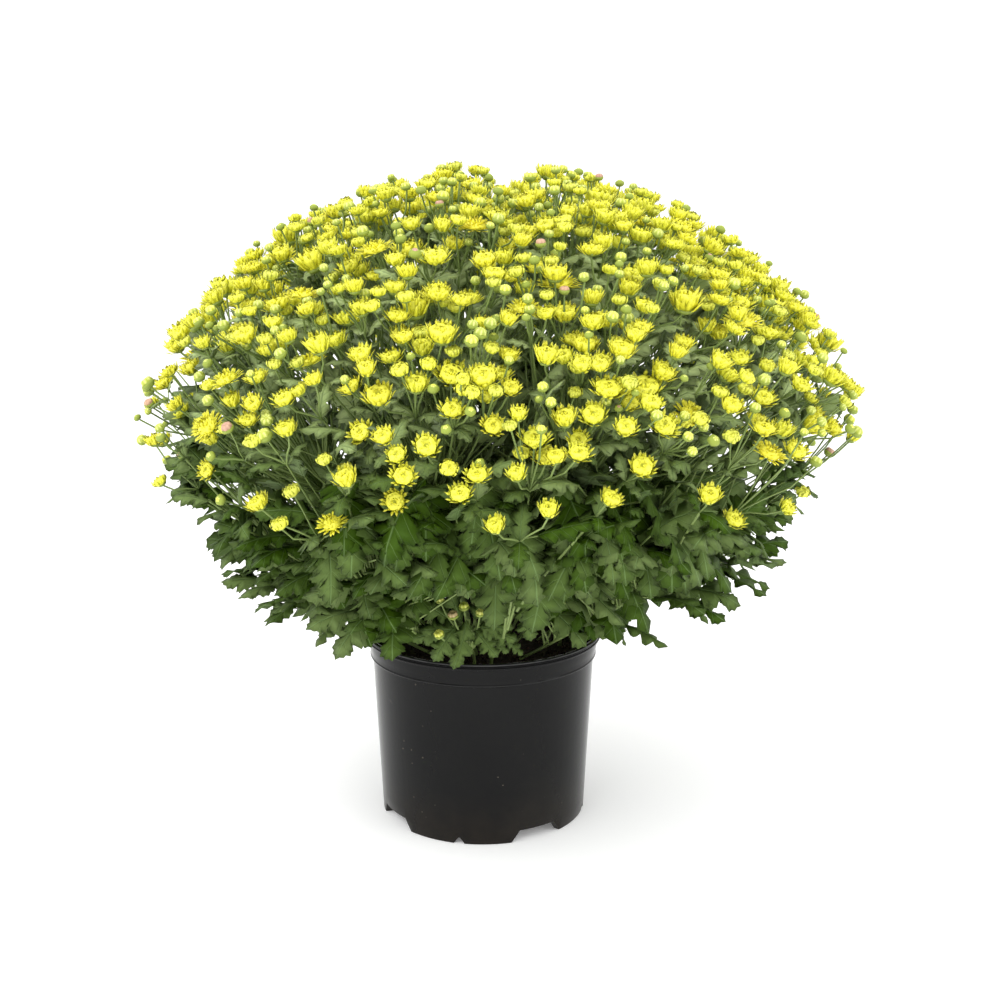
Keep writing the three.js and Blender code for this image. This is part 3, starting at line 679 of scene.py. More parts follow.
# %% Petal shapes
BLOOM_KINDS = {
    "cup": {
        "petals": 38,
        "layers": (
            (0.11, ((0.32, 0.90), (0.28, 1.06), (0.12, 1.12))),
            (0.12, ((0.56, 0.86), (0.55, 1.09), (0.38, 1.22))),
            (0.12, ((0.68, 0.62), (0.81, 0.88), (0.87, 1.08), (0.88, 1.25))),
            (0.17, ((0.30, 0.14), (0.74, 0.44), (0.94, 0.80), (1.16, 1.10))),
        ),
        "core": ((0, 0.1), (0.50, 0.26), (0.79, 0.66), (0.76, 1.0), (0.40, 1.05), (0.12, 0.88), (0, 0.86)),
    },
    "brush": {
        "petals": 38,
        "layers": (
            (0.10, ((0.30, 0.98), (0.26, 1.17), (0.11, 1.25))),
            (0.11, ((0.50, 0.94), (0.50, 1.20), (0.36, 1.36))),
            (0.11, ((0.60, 0.70), (0.73, 0.98), (0.78, 1.20), (0.78, 1.40))),
            (0.155, ((0.26, 0.14), (0.66, 0.50), (0.85, 0.92), (1.06, 1.28))),
        ),
        "core": ((0, 0.1), (0.46, 0.3), (0.70, 0.76), (0.67, 1.12), (0.36, 1.17), (0.12, 1.0), (0, 0.98)),
    },
    "wide": {
        "petals": 42,
        "layers": (
            (0.105, ((0.28, 0.66), (0.25, 0.84), (0.10, 0.90))),
            (0.115, ((0.50, 0.66), (0.52, 0.87), (0.42, 1.00))),
            (0.115, ((0.68, 0.52), (0.80, 0.74), (0.86, 0.90), (0.86, 1.04))),
            (0.150, ((0.28, 0.09), (0.80, 0.33), (1.04, 0.58), (1.30, 0.80))),
        ),
        "core": ((0, 0.06), (0.52, 0.19), (0.82, 0.52), (0.75, 0.78), (0.38, 0.80), (0.12, 0.68), (0, 0.66)),
    },
    "button": {
        "petals": 25,
        "layers": (
            (0.14, ((0.32, 0.94), (0.26, 1.09), (0.10, 1.12))),
            (0.17, ((0.66, 0.84), (0.58, 1.11), (0.34, 1.22))),
            (0.23, ((0.42, 0.22), (0.88, 0.56), (0.96, 0.92), (0.82, 1.20))),
        ),
        "core": ((0, 0.1), (0.62, 0.28), (0.88, 0.68), (0.75, 1.02), (0.34, 1.05), (0.12, 0.9), (0, 0.88)),
    },
    "open": {
        "petals": 66,
        "layers": (
            (0.065, ((0.14, 0.36), (0.15, 0.54), (0.05, 0.62))),
            (0.070, ((0.24, 0.34), (0.33, 0.55), (0.30, 0.68))),
            (0.080, ((0.28, 0.26), (0.48, 0.42), (0.60, 0.52), (0.66, 0.56))),
            (0.095, ((0.32, 0.18), (0.60, 0.28), (0.82, 0.38), (0.96, 0.40))),
            (0.105, ((0.30, 0.08), (0.66, 0.15), (0.94, 0.24), (1.12, 0.24))),
        ),
        "core": ((0, 0.04), (0.36, 0.08), (0.66, 0.19), (0.54, 0.34), (0.28, 0.40), (0, 0.40)),
    },
}
PETAL_WIDTHS = {3: (0.0, 1.0, 0.0), 4: (0.0, 0.9, 0.9, 0.0)}
KEEL = 0.03


def petal_mesh(profile, half_width):
    """A closed strip along a profile of (from axis, height), flat inside and keeled outside."""
    profile = np.array(profile)
    slopes = unit(np.gradient(profile, axis=0))
    points = [(0, *profile[0])]
    along = [0.0]
    for place, slope, width in list(zip(profile, slopes, PETAL_WIDTHS[len(profile)]))[1:-1]:
        keel = place + KEEL * np.array([slope[1], -slope[0]])
        points += [(-half_width * width, *place), (half_width * width, *place), (0, *keel)]
        along += [len(points) / (3 * len(profile) - 2)] * 3
    points.append((0, *profile[-1]))
    along.append(1.0)
    last = len(points) - 1
    faces = [(0, 1, 3), (0, 3, 2), (0, 2, 1)]
    for start in range(1, last - 3, 3):
        for side, after in ((0, 2), (2, 1), (1, 0)):
            faces.append((start + side, start + side + 3, start + after + 3, start + after))
    faces += [(last - 3, last, last - 1), (last - 1, last, last - 2), (last - 2, last, last - 3)]
    mesh = tidied(make_mesh("petal", points, faces))
    carry(mesh, "along", along)
    return mesh


# %% A bloom's growing rule
GOLDEN_ANGLE = math.radians(137.508)
LAYER_POWER = 0.7
JITTER = {"X": 0.08, "Y": 0.06, "Z": 0.05}

bloom_sheet, given = plan("bloom", {
    "Petals": "Collection", "Petal Count": "Int", "Layers": "Int", "Ruffle": "Float", "Seed": "Int",
})
count = given.out("Petal Count")
index = bloom_sheet.node("GeometryNodeInputIndex")
layer = (index / count) ** LAYER_POWER
whole_layer = bloom_sheet.maths("FLOOR", layer * given.out("Layers"))
points = bloom_sheet.node("GeometryNodePoints", {"Count": count})
points = bloom_sheet.node(
    "GeometryNodeStoreNamedAttribute",
    {"Geometry": points, "Name": "layer", "Value": layer},
    data_type="FLOAT",
)
ruffle = bloom_sheet.node(
    "FunctionNodeRandomValue",
    {"Min": -1.0, "Max": 1.0, "Seed": given.out("Seed")},
    data_type="FLOAT",
)
turn = bloom_sheet.node("ShaderNodeCombineXYZ", {
    "X": ruffle * given.out("Ruffle"), "Y": ruffle * given.out("Ruffle"), "Z": index * GOLDEN_ANGLE,
})
petals = bloom_sheet.node(
    "GeometryNodeCollectionInfo",
    {"Collection": given.out("Petals"), "Separate Children": True, "Reset Children": True},
)
uneven = {way: ruffle * part + 1 for way, part in JITTER.items()}
bloom = bloom_sheet.node("GeometryNodeInstanceOnPoints", {
    "Points": points, "Instance": petals, "Pick Instance": True, "Instance Index": whole_layer,
    "Rotation": turn, "Scale": bloom_sheet.node("ShaderNodeCombineXYZ", uneven),
})
bloom = bloom_sheet.node("GeometryNodeRealizeInstances", {"Geometry": bloom})
bloom_sheet.node("NodeGroupOutput", {"Geometry": bloom})
print(len(bloom_sheet.tree.nodes), "nodes in the bloom's rule")

# %% Blooms from the rule
RUFFLE = math.radians(7)
CORE_SIDES = 7
CORE_LAYER = 0.7
HEART = {"layer": -0.4, "radius": 0.2, "above": 0.3}


def discard(collection):
    for item in list(collection.objects):
        bpy.data.objects.remove(item)
    bpy.data.collections.remove(collection)


def count_triangles(mesh):
    return sum(len(face.vertices) - 2 for face in mesh.polygons)


def joined(meshes, name):
    """One mesh from several, with what they carry."""
    bodies = [bpy.data.objects.new(name, mesh) for mesh in meshes]
    for body in bodies:
        scene.collection.objects.link(body)
    with bpy.context.temp_override(active_object=bodies[0], selected_editable_objects=bodies):
        bpy.ops.object.join()
    mesh = bodies[0].data
    bpy.data.objects.remove(bodies[0])
    return mesh


def bloom_mesh(name, seed):
    kind = BLOOM_KINDS[name]
    petals = kit("petals_" + name, [petal_mesh(profile, half) for half, profile in kind["layers"]])
    whorl = grown(name, make_mesh("seed", [(0, 0, 0)], []), bloom_sheet, {
        "Petals": petals, "Petal Count": kind["petals"], "Layers": len(kind["layers"]),
        "Ruffle": RUFFLE, "Seed": seed,
    })
    mesh = whorl.data
    bpy.data.objects.remove(whorl)
    discard(petals)
    core = lathe("core", kind["core"], CORE_SIDES)
    places = [vertex.co for vertex in core.vertices]
    in_heart = [place.xy.length < HEART["radius"] and place.z > HEART["above"] for place in places]
    carry(core, "layer", np.where(in_heart, HEART["layer"], CORE_LAYER))
    carry(core, "along", [place.z / kind["core"][-3][1] for place in places])
    return joined([mesh, core], name)


bloom_names = ("cup", "cup", "brush", "wide", "wide", "button", "open", "open")
bloom_meshes = [bloom_mesh(name, number + 1) for number, name in enumerate(bloom_names)]
print("triangles in each bloom:", [count_triangles(mesh) for mesh in bloom_meshes])

# %% [markdown]
# ## Buds and green cups
# Under every head is a green cup of small scales, the calyx. A bud is mostly calyx, with a pale ring of
# petal tips on top and a dimple in the middle. At a few millimetres across, a turned shape with scalloped
# sides is enough for both. The scallops stand for rolled petals, so the finish paints a pale rib on each,
# partly petal colour and partly a painted highlight, and a dark green groove beside it as painted shade.

# %% Buds and calyxes
CALYX = ((0, -0.06), (0.42, 0.08), (0.60, 0.30), (0, 0.28))
OPEN_CALYX = ((0, -0.06), (0.30, 0.02), (0.42, 0.15), (0, 0.12))
BUD_TOP = ((0.80, 0.8), (0.92, 1.10), (0.80, 1.46), (0.54, 1.66), (0.26, 1.52), (0, 1.30))
BUD_CUP = ((0, 0), (0.62, 0.14), (1.0, 0.56), (1.03, 0.98), (0, 1.0))
TIGHT_TOP = ((0.5, 0.9), (0.56, 1.26), (0.28, 1.5), (0, 1.44))
TIGHT_CUP = ((0, 0), (0.62, 0.14), (0.98, 0.56), (0.92, 1.04), (0.5, 1.36), (0, 1.3))
DIMPLE = {"radius": 0.2, "layer": -0.3}
BUD_LAYER = 0.6


def petal_part(profile, sides, scallop=0.07):
    mesh = lathe("petal_part", ((0, profile[0][1]), *profile), sides, scallop)
    places = np.array([vertex.co for vertex in mesh.vertices])
    heights = places[:, 2]
    in_dimple = np.hypot(places[:, 0], places[:, 1]) < DIMPLE["radius"]
    # Ridges and grooves are marked here so that the finish paints them pale, partly as a painted highlight,
    # and dark, as painted shade.
    is_rib = np.round(np.arctan2(places[:, 1], places[:, 0]) * sides / 2 / math.pi) % 2 == 0
    carry(mesh, "layer", np.where(in_dimple, DIMPLE["layer"], BUD_LAYER))
    carry(mesh, "rib", np.where(in_dimple, 0.0, np.where(is_rib, 1.0, -1.0)))
    carry(mesh, "along", (heights - heights.min()) / (heights.max() - heights.min()))
    return mesh


def cup_part(profile, sides=10, scallop=0.05):
    mesh = lathe("calyx", profile, sides, scallop)
    carry(mesh, "cup", [0.4 + 0.6 * min(max(vertex.co.z, 0), 1) for vertex in mesh.vertices])
    return mesh


CUPS, WIDE, BUTTON, OPEN, BUD, TIGHT_BUD = (0, 1, 2), (3, 4), 5, (6, 7), 8, 9
calyxes = [OPEN_CALYX if number in OPEN else CALYX for number in range(len(bloom_meshes))]
calyx_meshes = [cup_part(calyx, 6, 0.0) for calyx in calyxes]
calyx_meshes += [cup_part(BUD_CUP), cup_part(TIGHT_CUP)]
bloom_meshes += [petal_part(BUD_TOP, 14), petal_part(TIGHT_TOP, 10)]
print(len(bloom_meshes), "heads to pick from, each with its green cup")

# %% [markdown]
# ## Leaves
# A chrysanthemum leaf has rounded lobes with blunt teeth, a wedge-shaped foot and a pale midrib. Its
# blade is a thin closed body: the outline is shared by the upper and the lower face, and they part
# at the midrib. Leaves of the skirt are more toothed than those of the dome, and the smallest are plain.
# The dome and the skirt have three shapes each, which droop, fold and bend in other ways, so that the
# bush doesn't look stamped.

# %% Leaf shapes
DOME_OUTLINE = (
    (0.00, 0.015), (0.13, 0.04), (0.18, 0.19), (0.25, 0.27), (0.33, 0.31), (0.37, 0.25), (0.40, 0.10),
    (0.47, 0.19), (0.54, 0.31), (0.64, 0.35), (0.68, 0.25), (0.71, 0.12), (0.79, 0.20), (0.87, 0.18),
    (0.94, 0.08), (1.00, 0.0),
)
SKIRT_OUTLINE = (
    (0.00, 0.012), (0.11, 0.03), (0.15, 0.07), (0.17, 0.20), (0.205, 0.19), (0.235, 0.31), (0.275, 0.29),
    (0.325, 0.385), (0.35, 0.33), (0.39, 0.33), (0.40, 0.14), (0.42, 0.09), (0.455, 0.20), (0.49, 0.21),
    (0.53, 0.34), (0.57, 0.32), (0.635, 0.415), (0.66, 0.34), (0.70, 0.33), (0.71, 0.17), (0.735, 0.12),
    (0.775, 0.21), (0.805, 0.19), (0.86, 0.235), (0.885, 0.16), (0.93, 0.15), (0.95, 0.07), (1.00, 0.0),
)
SMALL_OUTLINE = (
    (0.00, 0.015), (0.15, 0.05), (0.22, 0.22), (0.34, 0.28), (0.42, 0.13), (0.55, 0.30), (0.68, 0.30),
    (0.74, 0.14), (0.86, 0.17), (1.00, 0.0),
)
BLADE = 0.012
RIPPLES = 17
LEAF_SHAPES = (
    dict(outline=DOME_OUTLINE, ribs=5, droop=0.20, fold=0.20, wave=0.030, slim=0.86, bend=0.00),
    dict(outline=DOME_OUTLINE, ribs=5, droop=0.34, fold=0.08, wave=0.045, slim=0.78, bend=0.10),
    dict(outline=DOME_OUTLINE, ribs=5, droop=0.12, fold=0.32, wave=0.020, slim=0.68, bend=-0.12),
    dict(outline=SKIRT_OUTLINE, ribs=5, droop=0.16, fold=0.10, wave=0.045, slim=0.80, bend=-0.05),
    dict(outline=SKIRT_OUTLINE, ribs=5, droop=0.30, fold=0.16, wave=0.035, slim=0.88, bend=0.06),
    dict(outline=SKIRT_OUTLINE, ribs=5, droop=0.06, fold=0.05, wave=0.060, slim=0.70, bend=0.12),
    dict(outline=SMALL_OUTLINE, ribs=3, droop=0.25, fold=0.25, wave=0.030, slim=0.90, bend=0.00),
)


def leaf_mesh(outline, ribs, droop, fold, wave, slim, bend):
    """A leaf one unit long, along +Y from its foot, with its face up."""
    def place(along, across, lift):
        arch = 4 * droop * along * (1 - along) - 0.5 * droop * along
        ripple = wave * math.sin(along * RIPPLES + 2 * np.sign(across)) * min(abs(across) * 5, 1)
        height = arch * 0.5 - fold * abs(across) + ripple + lift
        return (across * slim + bend * along * along, along, height)

    midrib = [number / ribs for number in range(ribs + 1)]
    points = []
    marks = []
    chains = {}
    for key, lift in (("top", BLADE), ("under", -BLADE)):
        inner = midrib[:-1]
        chains[key] = list(range(len(points), len(points) + len(inner)))
        points += [place(along, 0.0, lift) for along in inner]
        marks += [(along, 0.0) for along in inner]
    for key, sign in (("right", 1), ("left", -1)):
        side = outline[:-1]
        chains[key] = list(range(len(points), len(points) + len(side)))
        points += [place(along, sign * across, 0.0) for along, across in side]
        marks += [(along, sign * across) for along, across in side]
    tip = len(points)
    points.append(place(1.0, 0.0, 0.0))
    marks.append((1.0, 0.0))
    faces = []
    for side in ("right", "left"):
        rim = chains[side] + [tip]
        for spine in ("top", "under"):
            rib = chains[spine] + [tip]
            i = j = 0
            while i < len(rib) - 1 or j < len(rim) - 1:
                rim_next = outline[j + 1][0] if j < len(rim) - 1 else 2
                rib_next = midrib[i + 1] if i < len(rib) - 1 else 2
                if rim_next <= rib_next:
                    faces.append((rib[i], rim[j], rim[j + 1], spine))
                    j += 1
                else:
                    faces.append((rib[i], rim[j], rib[i + 1], spine))
                    i += 1
    foot = [chains[name][0] for name in ("top", "right", "under", "left")]
    kept = [face for face in faces if len(set(face[:3])) == 3]
    mesh = make_mesh("leaf", points, [face[:3] for face in kept] + [tuple(foot)])
    carry(mesh, "along", [mark[0] for mark in marks])
    carry(mesh, "across", [mark[1] for mark in marks])
    carry(mesh, "under", [float(face[3] == "under") for face in kept] + [1.0], domain="FACE")
    return tidied(mesh)


leaf_meshes = [leaf_mesh(**shape) for shape in LEAF_SHAPES]
print("triangles in each leaf:", [count_triangles(mesh) for mesh in leaf_meshes])

# %% [markdown]
# ## Finishes
# Petals are lemon yellow, deeper and greener toward the heart, and no two heads are quite the same age.
# Leaves are a dull deep green with a pale midrib and side veins, and paler below. High on the dome they are
# painted much paler, as painted light, and low in the skirt much darker, as painted shade. Stalks are a
# lighter green. A shape carries what its finish needs, such as the layer of a petal and the place along it,
# and the growing rules add the age of each head and the tone of each leaf, with its painted light and shade.

# %% Petal finish
PINK = (0.55, 0.20, 0.28)


def petal_finish():
    material, sheet = new_finish("yellow_petal")
    layer = sheet.attribute("layer")
    along = sheet.attribute("along")
    aged = sheet.node("ShaderNodeValToRGB", {"Fac": sheet.attribute("ripe")}, stops=(
        (0.0, (0.30, 0.39, 0.08)), (0.2, (0.52, 0.61, 0.09)), (0.45, (0.92, 0.93, 0.04)),
        (0.8, (0.95, 0.90, 0.025)), (1.0, (0.95, 0.81, 0.014)),
    ))
    deep = sheet.clamped((1 - layer) * 0.5 - along * 0.25)
    colour = sheet.mixed(deep, aged, (0.92, 0.82, 0.008))
    heart = sheet.clamped(layer * -3)
    colour = sheet.mixed(heart, colour, (0.52, 0.54, 0.02))
    foot = sheet.clamped(layer * 1.4 - 0.5) * sheet.clamped(1 - along * 2.6)
    colour = sheet.mixed(foot * 0.7, colour, (0.50, 0.60, 0.14))
    streaks = sheet.noise(900, 1.0)
    tips = sheet.clamped(along * 2 - 1.1) * layer
    colour = sheet.mixed(streaks * 0.25 + tips * 0.35, colour, (0.97, 0.95, 0.20))
    # On buds, the pale rib on each scallop is partly petal colour and partly a painted highlight, and the
    # darker green in the groove beside it is painted shade.
    rib = sheet.attribute("rib")
    colour = sheet.mixed(sheet.clamped(rib) * 0.7, colour, (0.86, 0.90, 0.34))
    colour = sheet.mixed(sheet.clamped(rib * -1) * 0.75, colour, (0.36, 0.44, 0.04))
    colour = sheet.mixed(sheet.attribute("blush"), colour, PINK)
    seal(sheet, colour, 0.52 + streaks * 0.1, streaks, 0.0004)
    return material


# %% Green finishes
def stalk_finish():
    material, sheet = new_finish("green_stalk")
    patch = sheet.noise(160)
    colour = sheet.mixed(patch, (0.16, 0.23, 0.065), (0.27, 0.36, 0.11))
    colour = sheet.mixed(sheet.attribute("cup"), colour, (0.29, 0.36, 0.05))
    seal(sheet, colour, 0.6, patch, 0.0003, {"Specular IOR Level": 0.35})
    return material


def leaf_finish():
    material, sheet = new_finish("green_leaf")
    along = sheet.attribute("along")
    across = sheet.maths("ABSOLUTE", sheet.attribute("across"))
    # The tone mixes each leaf's random tone with painted light and shade: low values give pale leaves, as
    # painted light high on the dome, and high values dark ones, as painted shade low in the skirt.
    tint = sheet.attribute("tint")
    patch = sheet.noise(70)
    patchy = sheet.mixed(tint, (0.30, 0.39, 0.14), (0.068, 0.128, 0.003))
    top = sheet.mixed(tint, (0.490, 0.595, 0.270), (0.032, 0.076, 0.001))
    top = sheet.mixed(patch * 0.5, top, patchy)
    under = sheet.mixed(tint, (0.43, 0.52, 0.29), (0.065, 0.120, 0.018))
    colour = sheet.mixed(sheet.attribute("under"), top, under)
    midrib = sheet.clamped(1 - across * 55)
    rows = sheet.maths("FRACT", (along - across * 0.7) * 6)
    side_vein = sheet.clamped(1 - sheet.maths("ABSOLUTE", rows - 0.5) * 16)
    veins = sheet.maths("MAXIMUM", midrib, side_vein * 0.45)
    colour = sheet.mixed(veins * 0.6, colour, (0.22, 0.34, 0.12))
    height = sheet.noise(420, 3.0) * 0.4 - veins
    seal(sheet, colour, 0.55 + patch * 0.15, height, 0.0006, {"Specular IOR Level": 0.16})
    return material


PETAL = petal_finish()
STALK = stalk_finish()
LEAF = leaf_finish()

# %% [markdown]
# ## One rule for everything that grows
# A spray and a leafy stem are alike: green paths that branch, with shapes at the ends. So one growing rule
# serves both. It takes a mesh of paths, turns them into thin tubes, and sets a shape from a kit on every
# point that is marked as an end. Each end carries its turn, its size and the number of its shape.

# %% The growing rule
grow_sheet, given = plan("grow", {
    "Shapes": "Collection", "Cups": "Collection", "Tube Sides": "Int",
    "Shape Material": "Material", "Stalk Material": "Material",
})
paths = grow_sheet.node("GeometryNodeMeshToCurve", {"Mesh": given.out("Geometry")})
ring = grow_sheet.node("GeometryNodeCurvePrimitiveCircle", {
    "Resolution": given.out("Tube Sides"), "Radius": 1.0,
})
tubes = grow_sheet.node("GeometryNodeCurveToMesh", {
    "Curve": paths, "Profile Curve": ring, "Scale": named(grow_sheet, "thick"), "Fill Caps": True,
})
tubes = grow_sheet.node("GeometryNodeSetShadeSmooth", {"Geometry": tubes, "Shade Smooth": True})
tubes = grow_sheet.node("GeometryNodeSetMaterial", {
    "Geometry": tubes, "Material": given.out("Stalk Material"),
})


def on_ends(shapes, finish):
    """Shapes of a kit on every marked end."""
    shapes = grow_sheet.node(
        "GeometryNodeCollectionInfo",
        {"Collection": given.out(shapes), "Separate Children": True, "Reset Children": True},
    )
    copies = grow_sheet.node("GeometryNodeInstanceOnPoints", {
        "Points": given.out("Geometry"), "Selection": named(grow_sheet, "is_end", "BOOLEAN"),
        "Instance": shapes, "Pick Instance": True, "Instance Index": named(grow_sheet, "shape", "INT"),
        "Rotation": named(grow_sheet, "turn", "QUATERNION"), "Scale": named(grow_sheet, "size"),
    })
    copies = grow_sheet.node("GeometryNodeRealizeInstances", {"Geometry": copies})
    return grow_sheet.node("GeometryNodeSetMaterial", {"Geometry": copies, "Material": given.out(finish)})


grow_sheet.node("NodeGroupOutput", {"Geometry": grow_sheet.node("GeometryNodeJoinGeometry", {
    "Geometry": [on_ends("Shapes", "Shape Material"), on_ends("Cups", "Stalk Material"), tubes],
})})


# %% Paths with ends
class Paths:
    """Collects green paths and the shapes at their ends, for one piece."""

    def __init__(self):
        self.points = []
        self.edges = []
        self.rows = []

    def path(self, places, thick_from, thick_to, end=None):
        """A path through places. end is what stands at its last point."""
        first = len(self.points)
        for number, place in enumerate(places):
            part = number / (len(places) - 1)
            self.points.append(place)
            self.rows.append({"thick": thick_from + (thick_to - thick_from) * part})
        self.edges += [(first + k, first + k + 1) for k in range(len(places) - 1)]
        if end:
            self.rows[-1].update(end, is_end=True)

    def mesh(self):
        mesh = make_mesh("paths", self.points, [], self.edges)
        blank = {"thick": 0.0, "is_end": False, "shape": 0, "turn": (1, 0, 0, 0), "size": 1.0,
                 "ripe": 0.5, "blush": 0.0, "tint": 0.5}
        kinds = {"is_end": "BOOLEAN", "shape": "INT", "turn": "QUATERNION"}
        for name, value in blank.items():
            carry(mesh, name, [row.get(name, value) for row in self.rows], kinds.get(name, "FLOAT"))
        return mesh


def grow_paths(name, paths, shapes, cups, sides, finish):
    """Grows a piece of the plant from its paths, with a kit of shapes, and one of cups, for their ends."""
    return grown(name, paths.mesh(), grow_sheet, {
        "Shapes": shapes, "Cups": cups, "Tube Sides": sides,
        "Shape Material": finish, "Stalk Material": STALK,
    })


def turned(side, forward, up):
    """The turn that takes X, Y and Z to the three directions."""
    return tuple(Matrix((side, forward, up)).transposed().to_quaternion())


def bent(start, end, leaving, arriving, steps):
    """A smooth path that leaves and arrives along two directions."""
    length = np.linalg.norm(end - start)
    first = start + leaving * length * 0.35
    last = end - arriving * length * 0.35
    places = []
    for k in range(steps + 1):
        t = k / steps
        places.append(
            (1 - t) ** 3 * start + 3 * t * (1 - t) ** 2 * first + 3 * t * t * (1 - t) * last + t ** 3 * end
        )
    return places


# %% [markdown]
# ## Flower sprays
# A spray is a bunch of twigs that leave their stem at different heights below the flowers. Each twig
# parts into a few stalks, and each stalk ends under a head. Every head gets an age, from green bud to
# golden bloom, which the petal finish reads.

# %% The shape and age of a head
SMALLEST_CUP = 0.0068
TIGHT_SHARE, CUP_SHARE, PINK_SHARE = 0.3, 0.62, 0.05
PINK_DEPTH = 0.7
CUP_AGE, BUTTON_AGE, OPEN_AGE, BUD_AGE = (0.46, 0.3), (0.28, 0.22), (0.62, 0.3), (0, 0.34)
AGES = [CUP_AGE] * 5 + [BUTTON_AGE] + [OPEN_AGE] * 2 + [BUD_AGE] * 2


def head_shape(head):
    pick = chance(head["index"], 41)
    if head["is_open"]:
        return OPEN[int(pick * 2)]
    if "bud" in head["sort"]:
        return TIGHT_BUD if pick < TIGHT_SHARE else BUD
    if head["radius"] < SMALLEST_CUP:
        return BUTTON
    if pick < CUP_SHARE:
        return CUPS[int(pick / CUP_SHARE * 3)]
    return WIDE[int((pick - CUP_SHARE) / (1 - CUP_SHARE) * 2)]


def head_end(head):
    """What a stalk carries at its end: the head's shape, size, turn and age."""
    shape = head_shape(head)
    youngest, more = AGES[shape]
    axis = head["axis"]
    side, rise = frame_of(axis)
    spin = 2 * math.pi * chance(head["index"], 43)
    across = math.cos(spin) * side + math.sin(spin) * rise
    is_pink = "bud" in head["sort"] and chance(head["index"], 44) < PINK_SHARE
    return {
        "shape": shape, "size": head["radius"], "turn": turned(across, np.cross(axis, across), axis),
        "ripe": youngest + more * chance(head["index"], 42), "blush": PINK_DEPTH * is_pink,
    }


# %% Twigs and stalks
THIN_SIDES = 3
STALK_THICK = 0.00078
HEADS_PER_TWIG = 4
TWIG = {"from": 0.34, "to": 0.64, "drop": 0.015, "spread": 0.4, "thick": 1.5, "thin": 1.2}
spray_paths = [Paths() for _ in range(CELLS)]
forks = []


def groups_of(members):
    """Shares out the heads of a spray among twigs, each with heads that stand close together."""
    centres = np.array([head["centre"] for head in members])
    apart = np.linalg.norm(centres[:, None] - centres, axis=2)
    firsts = [0]
    while len(firsts) < math.ceil(len(members) / HEADS_PER_TWIG):
        firsts.append(int(np.argmax(apart[firsts].min(axis=0))))
    nearest = np.argmin(apart[firsts], axis=0)
    return [[members[k] for k in np.flatnonzero(nearest == number)] for number in range(len(firsts))]


for cell, paths in enumerate(spray_paths):
    for number, group in enumerate(groups_of([head for head in heads if head["cell"] == cell])):
        part = TWIG["from"] + (TWIG["to"] - TWIG["from"]) * float(chance(cell * 16 + number, 45))
        start = APEX + axes[cell] * reaches[cell] * part
        bases = np.array([head["base"] for head in group])
        middle = bases.mean(axis=0)
        inward = unit(start - middle)
        spread = np.linalg.norm(bases - middle, axis=1).max()
        fork = middle + inward * (((bases - middle) @ inward).max() + TWIG["drop"] + TWIG["spread"] * spread)
        forks.append((fork, -inward, cell))
        twig = bent(start, fork, axes[cell], -inward, 4)
        paths.path(twig, STALK_THICK * TWIG["thick"], STALK_THICK * TWIG["thin"])
        for head in group:
            leaving = unit(unit(head["base"] - fork) - inward)
            stalk = bent(fork, head["base"], leaving, head["axis"], 3)
            paths.path(stalk, STALK_THICK, STALK_THICK, head_end(head))
print(len(forks), "twigs")

# %% The sprays grow
shapes = kit("heads", bloom_meshes)
cups = kit("cups", calyx_meshes)
total = 0
for cell, paths in enumerate(spray_paths):
    name = f"spray_{cell + 1:02d}"
    piece = grow_paths("flowers_" + name, paths, shapes, cups, THIN_SIDES, PETAL)
    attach(piece, "root")
    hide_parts(name)
    total += count_triangles(piece.data)
print(total, "triangles in the sprays")
discard(shapes)
discard(cups)

# %% [markdown]
# ## Leafy stems
# Stems rise out of the soil and fan out under the flowers. Their leaves stand in the dome just below
# the blooms and hang over the pot as a skirt of larger ones. The first leaves of each stem are those of
# the solid model, less a few that would hide the soil where the skirt opens in front. The rest fill the
# dome, thrown in a fixed order like the heads. A valance of leaves frames the opening, and two of them
# hang lower. Where there is room, a twig has two small leaves at its fork. The stem at the front rises
# more steeply than the others of the skirt, which also keeps the soil in sight.

# %% Where leaves may be
LARGE_LEAF = 0.046
LEAF_STEP = 0.012
HEAD_CLEARANCE = 0.002
SHOOT_CROOKS = (np.array([pot_x - 0.010, -0.107, 0.171]), np.array([pot_x + 0.109, 0, 0.171]))
SHOOT_ROOM = 0.058
OPENING = {"turn": math.radians(-81), "half": math.radians(26), "height": 0.186, "slope": 0.29}
POT_AXIS = np.array([pot_x, 0, 0])
leaf_list = []
head_centres, head_guards = gathered("centre"), gathered("guard")


def add_leaf(cell, tip, forward, sky, length, seed, start=None, is_plain=False):
    leaf_list.append({"cell": cell, "tip": tip, "forward": unit(forward), "sky": unit(sky), "length": length,
                      "seed": seed, "is_large": length > LARGE_LEAF, "is_plain": is_plain, "start": start})


def cell_towards(direction):
    return int(np.argmax(axes @ direction))


def opening_edge(place):
    """The height under which the front of the dome opens over the soil."""
    return OPENING["height"] - OPENING["slope"] * place[1]


def hides_soil(tip):
    """Whether a tip hangs where the front of the dome opens."""
    off = abs(math.atan2(tip[1], tip[0] - pot_x) - OPENING["turn"])
    return off < OPENING["half"] and tip[2] < opening_edge(tip)


def is_free_of_shoots(heel, tip):
    return all(segment_distances(crook, heel, tip) > SHOOT_ROOM for crook in SHOOT_CROOKS)


def meets_head(tip, forward, length):
    """Whether a leaf would stand in a head."""
    spots = tip - unit(forward) * length * np.array([[0], [0.3], [0.6]])
    apart = np.linalg.norm(spots[:, None] - head_centres, axis=2)
    return bool(np.any(apart < head_guards + HEAD_CLEARANCE))


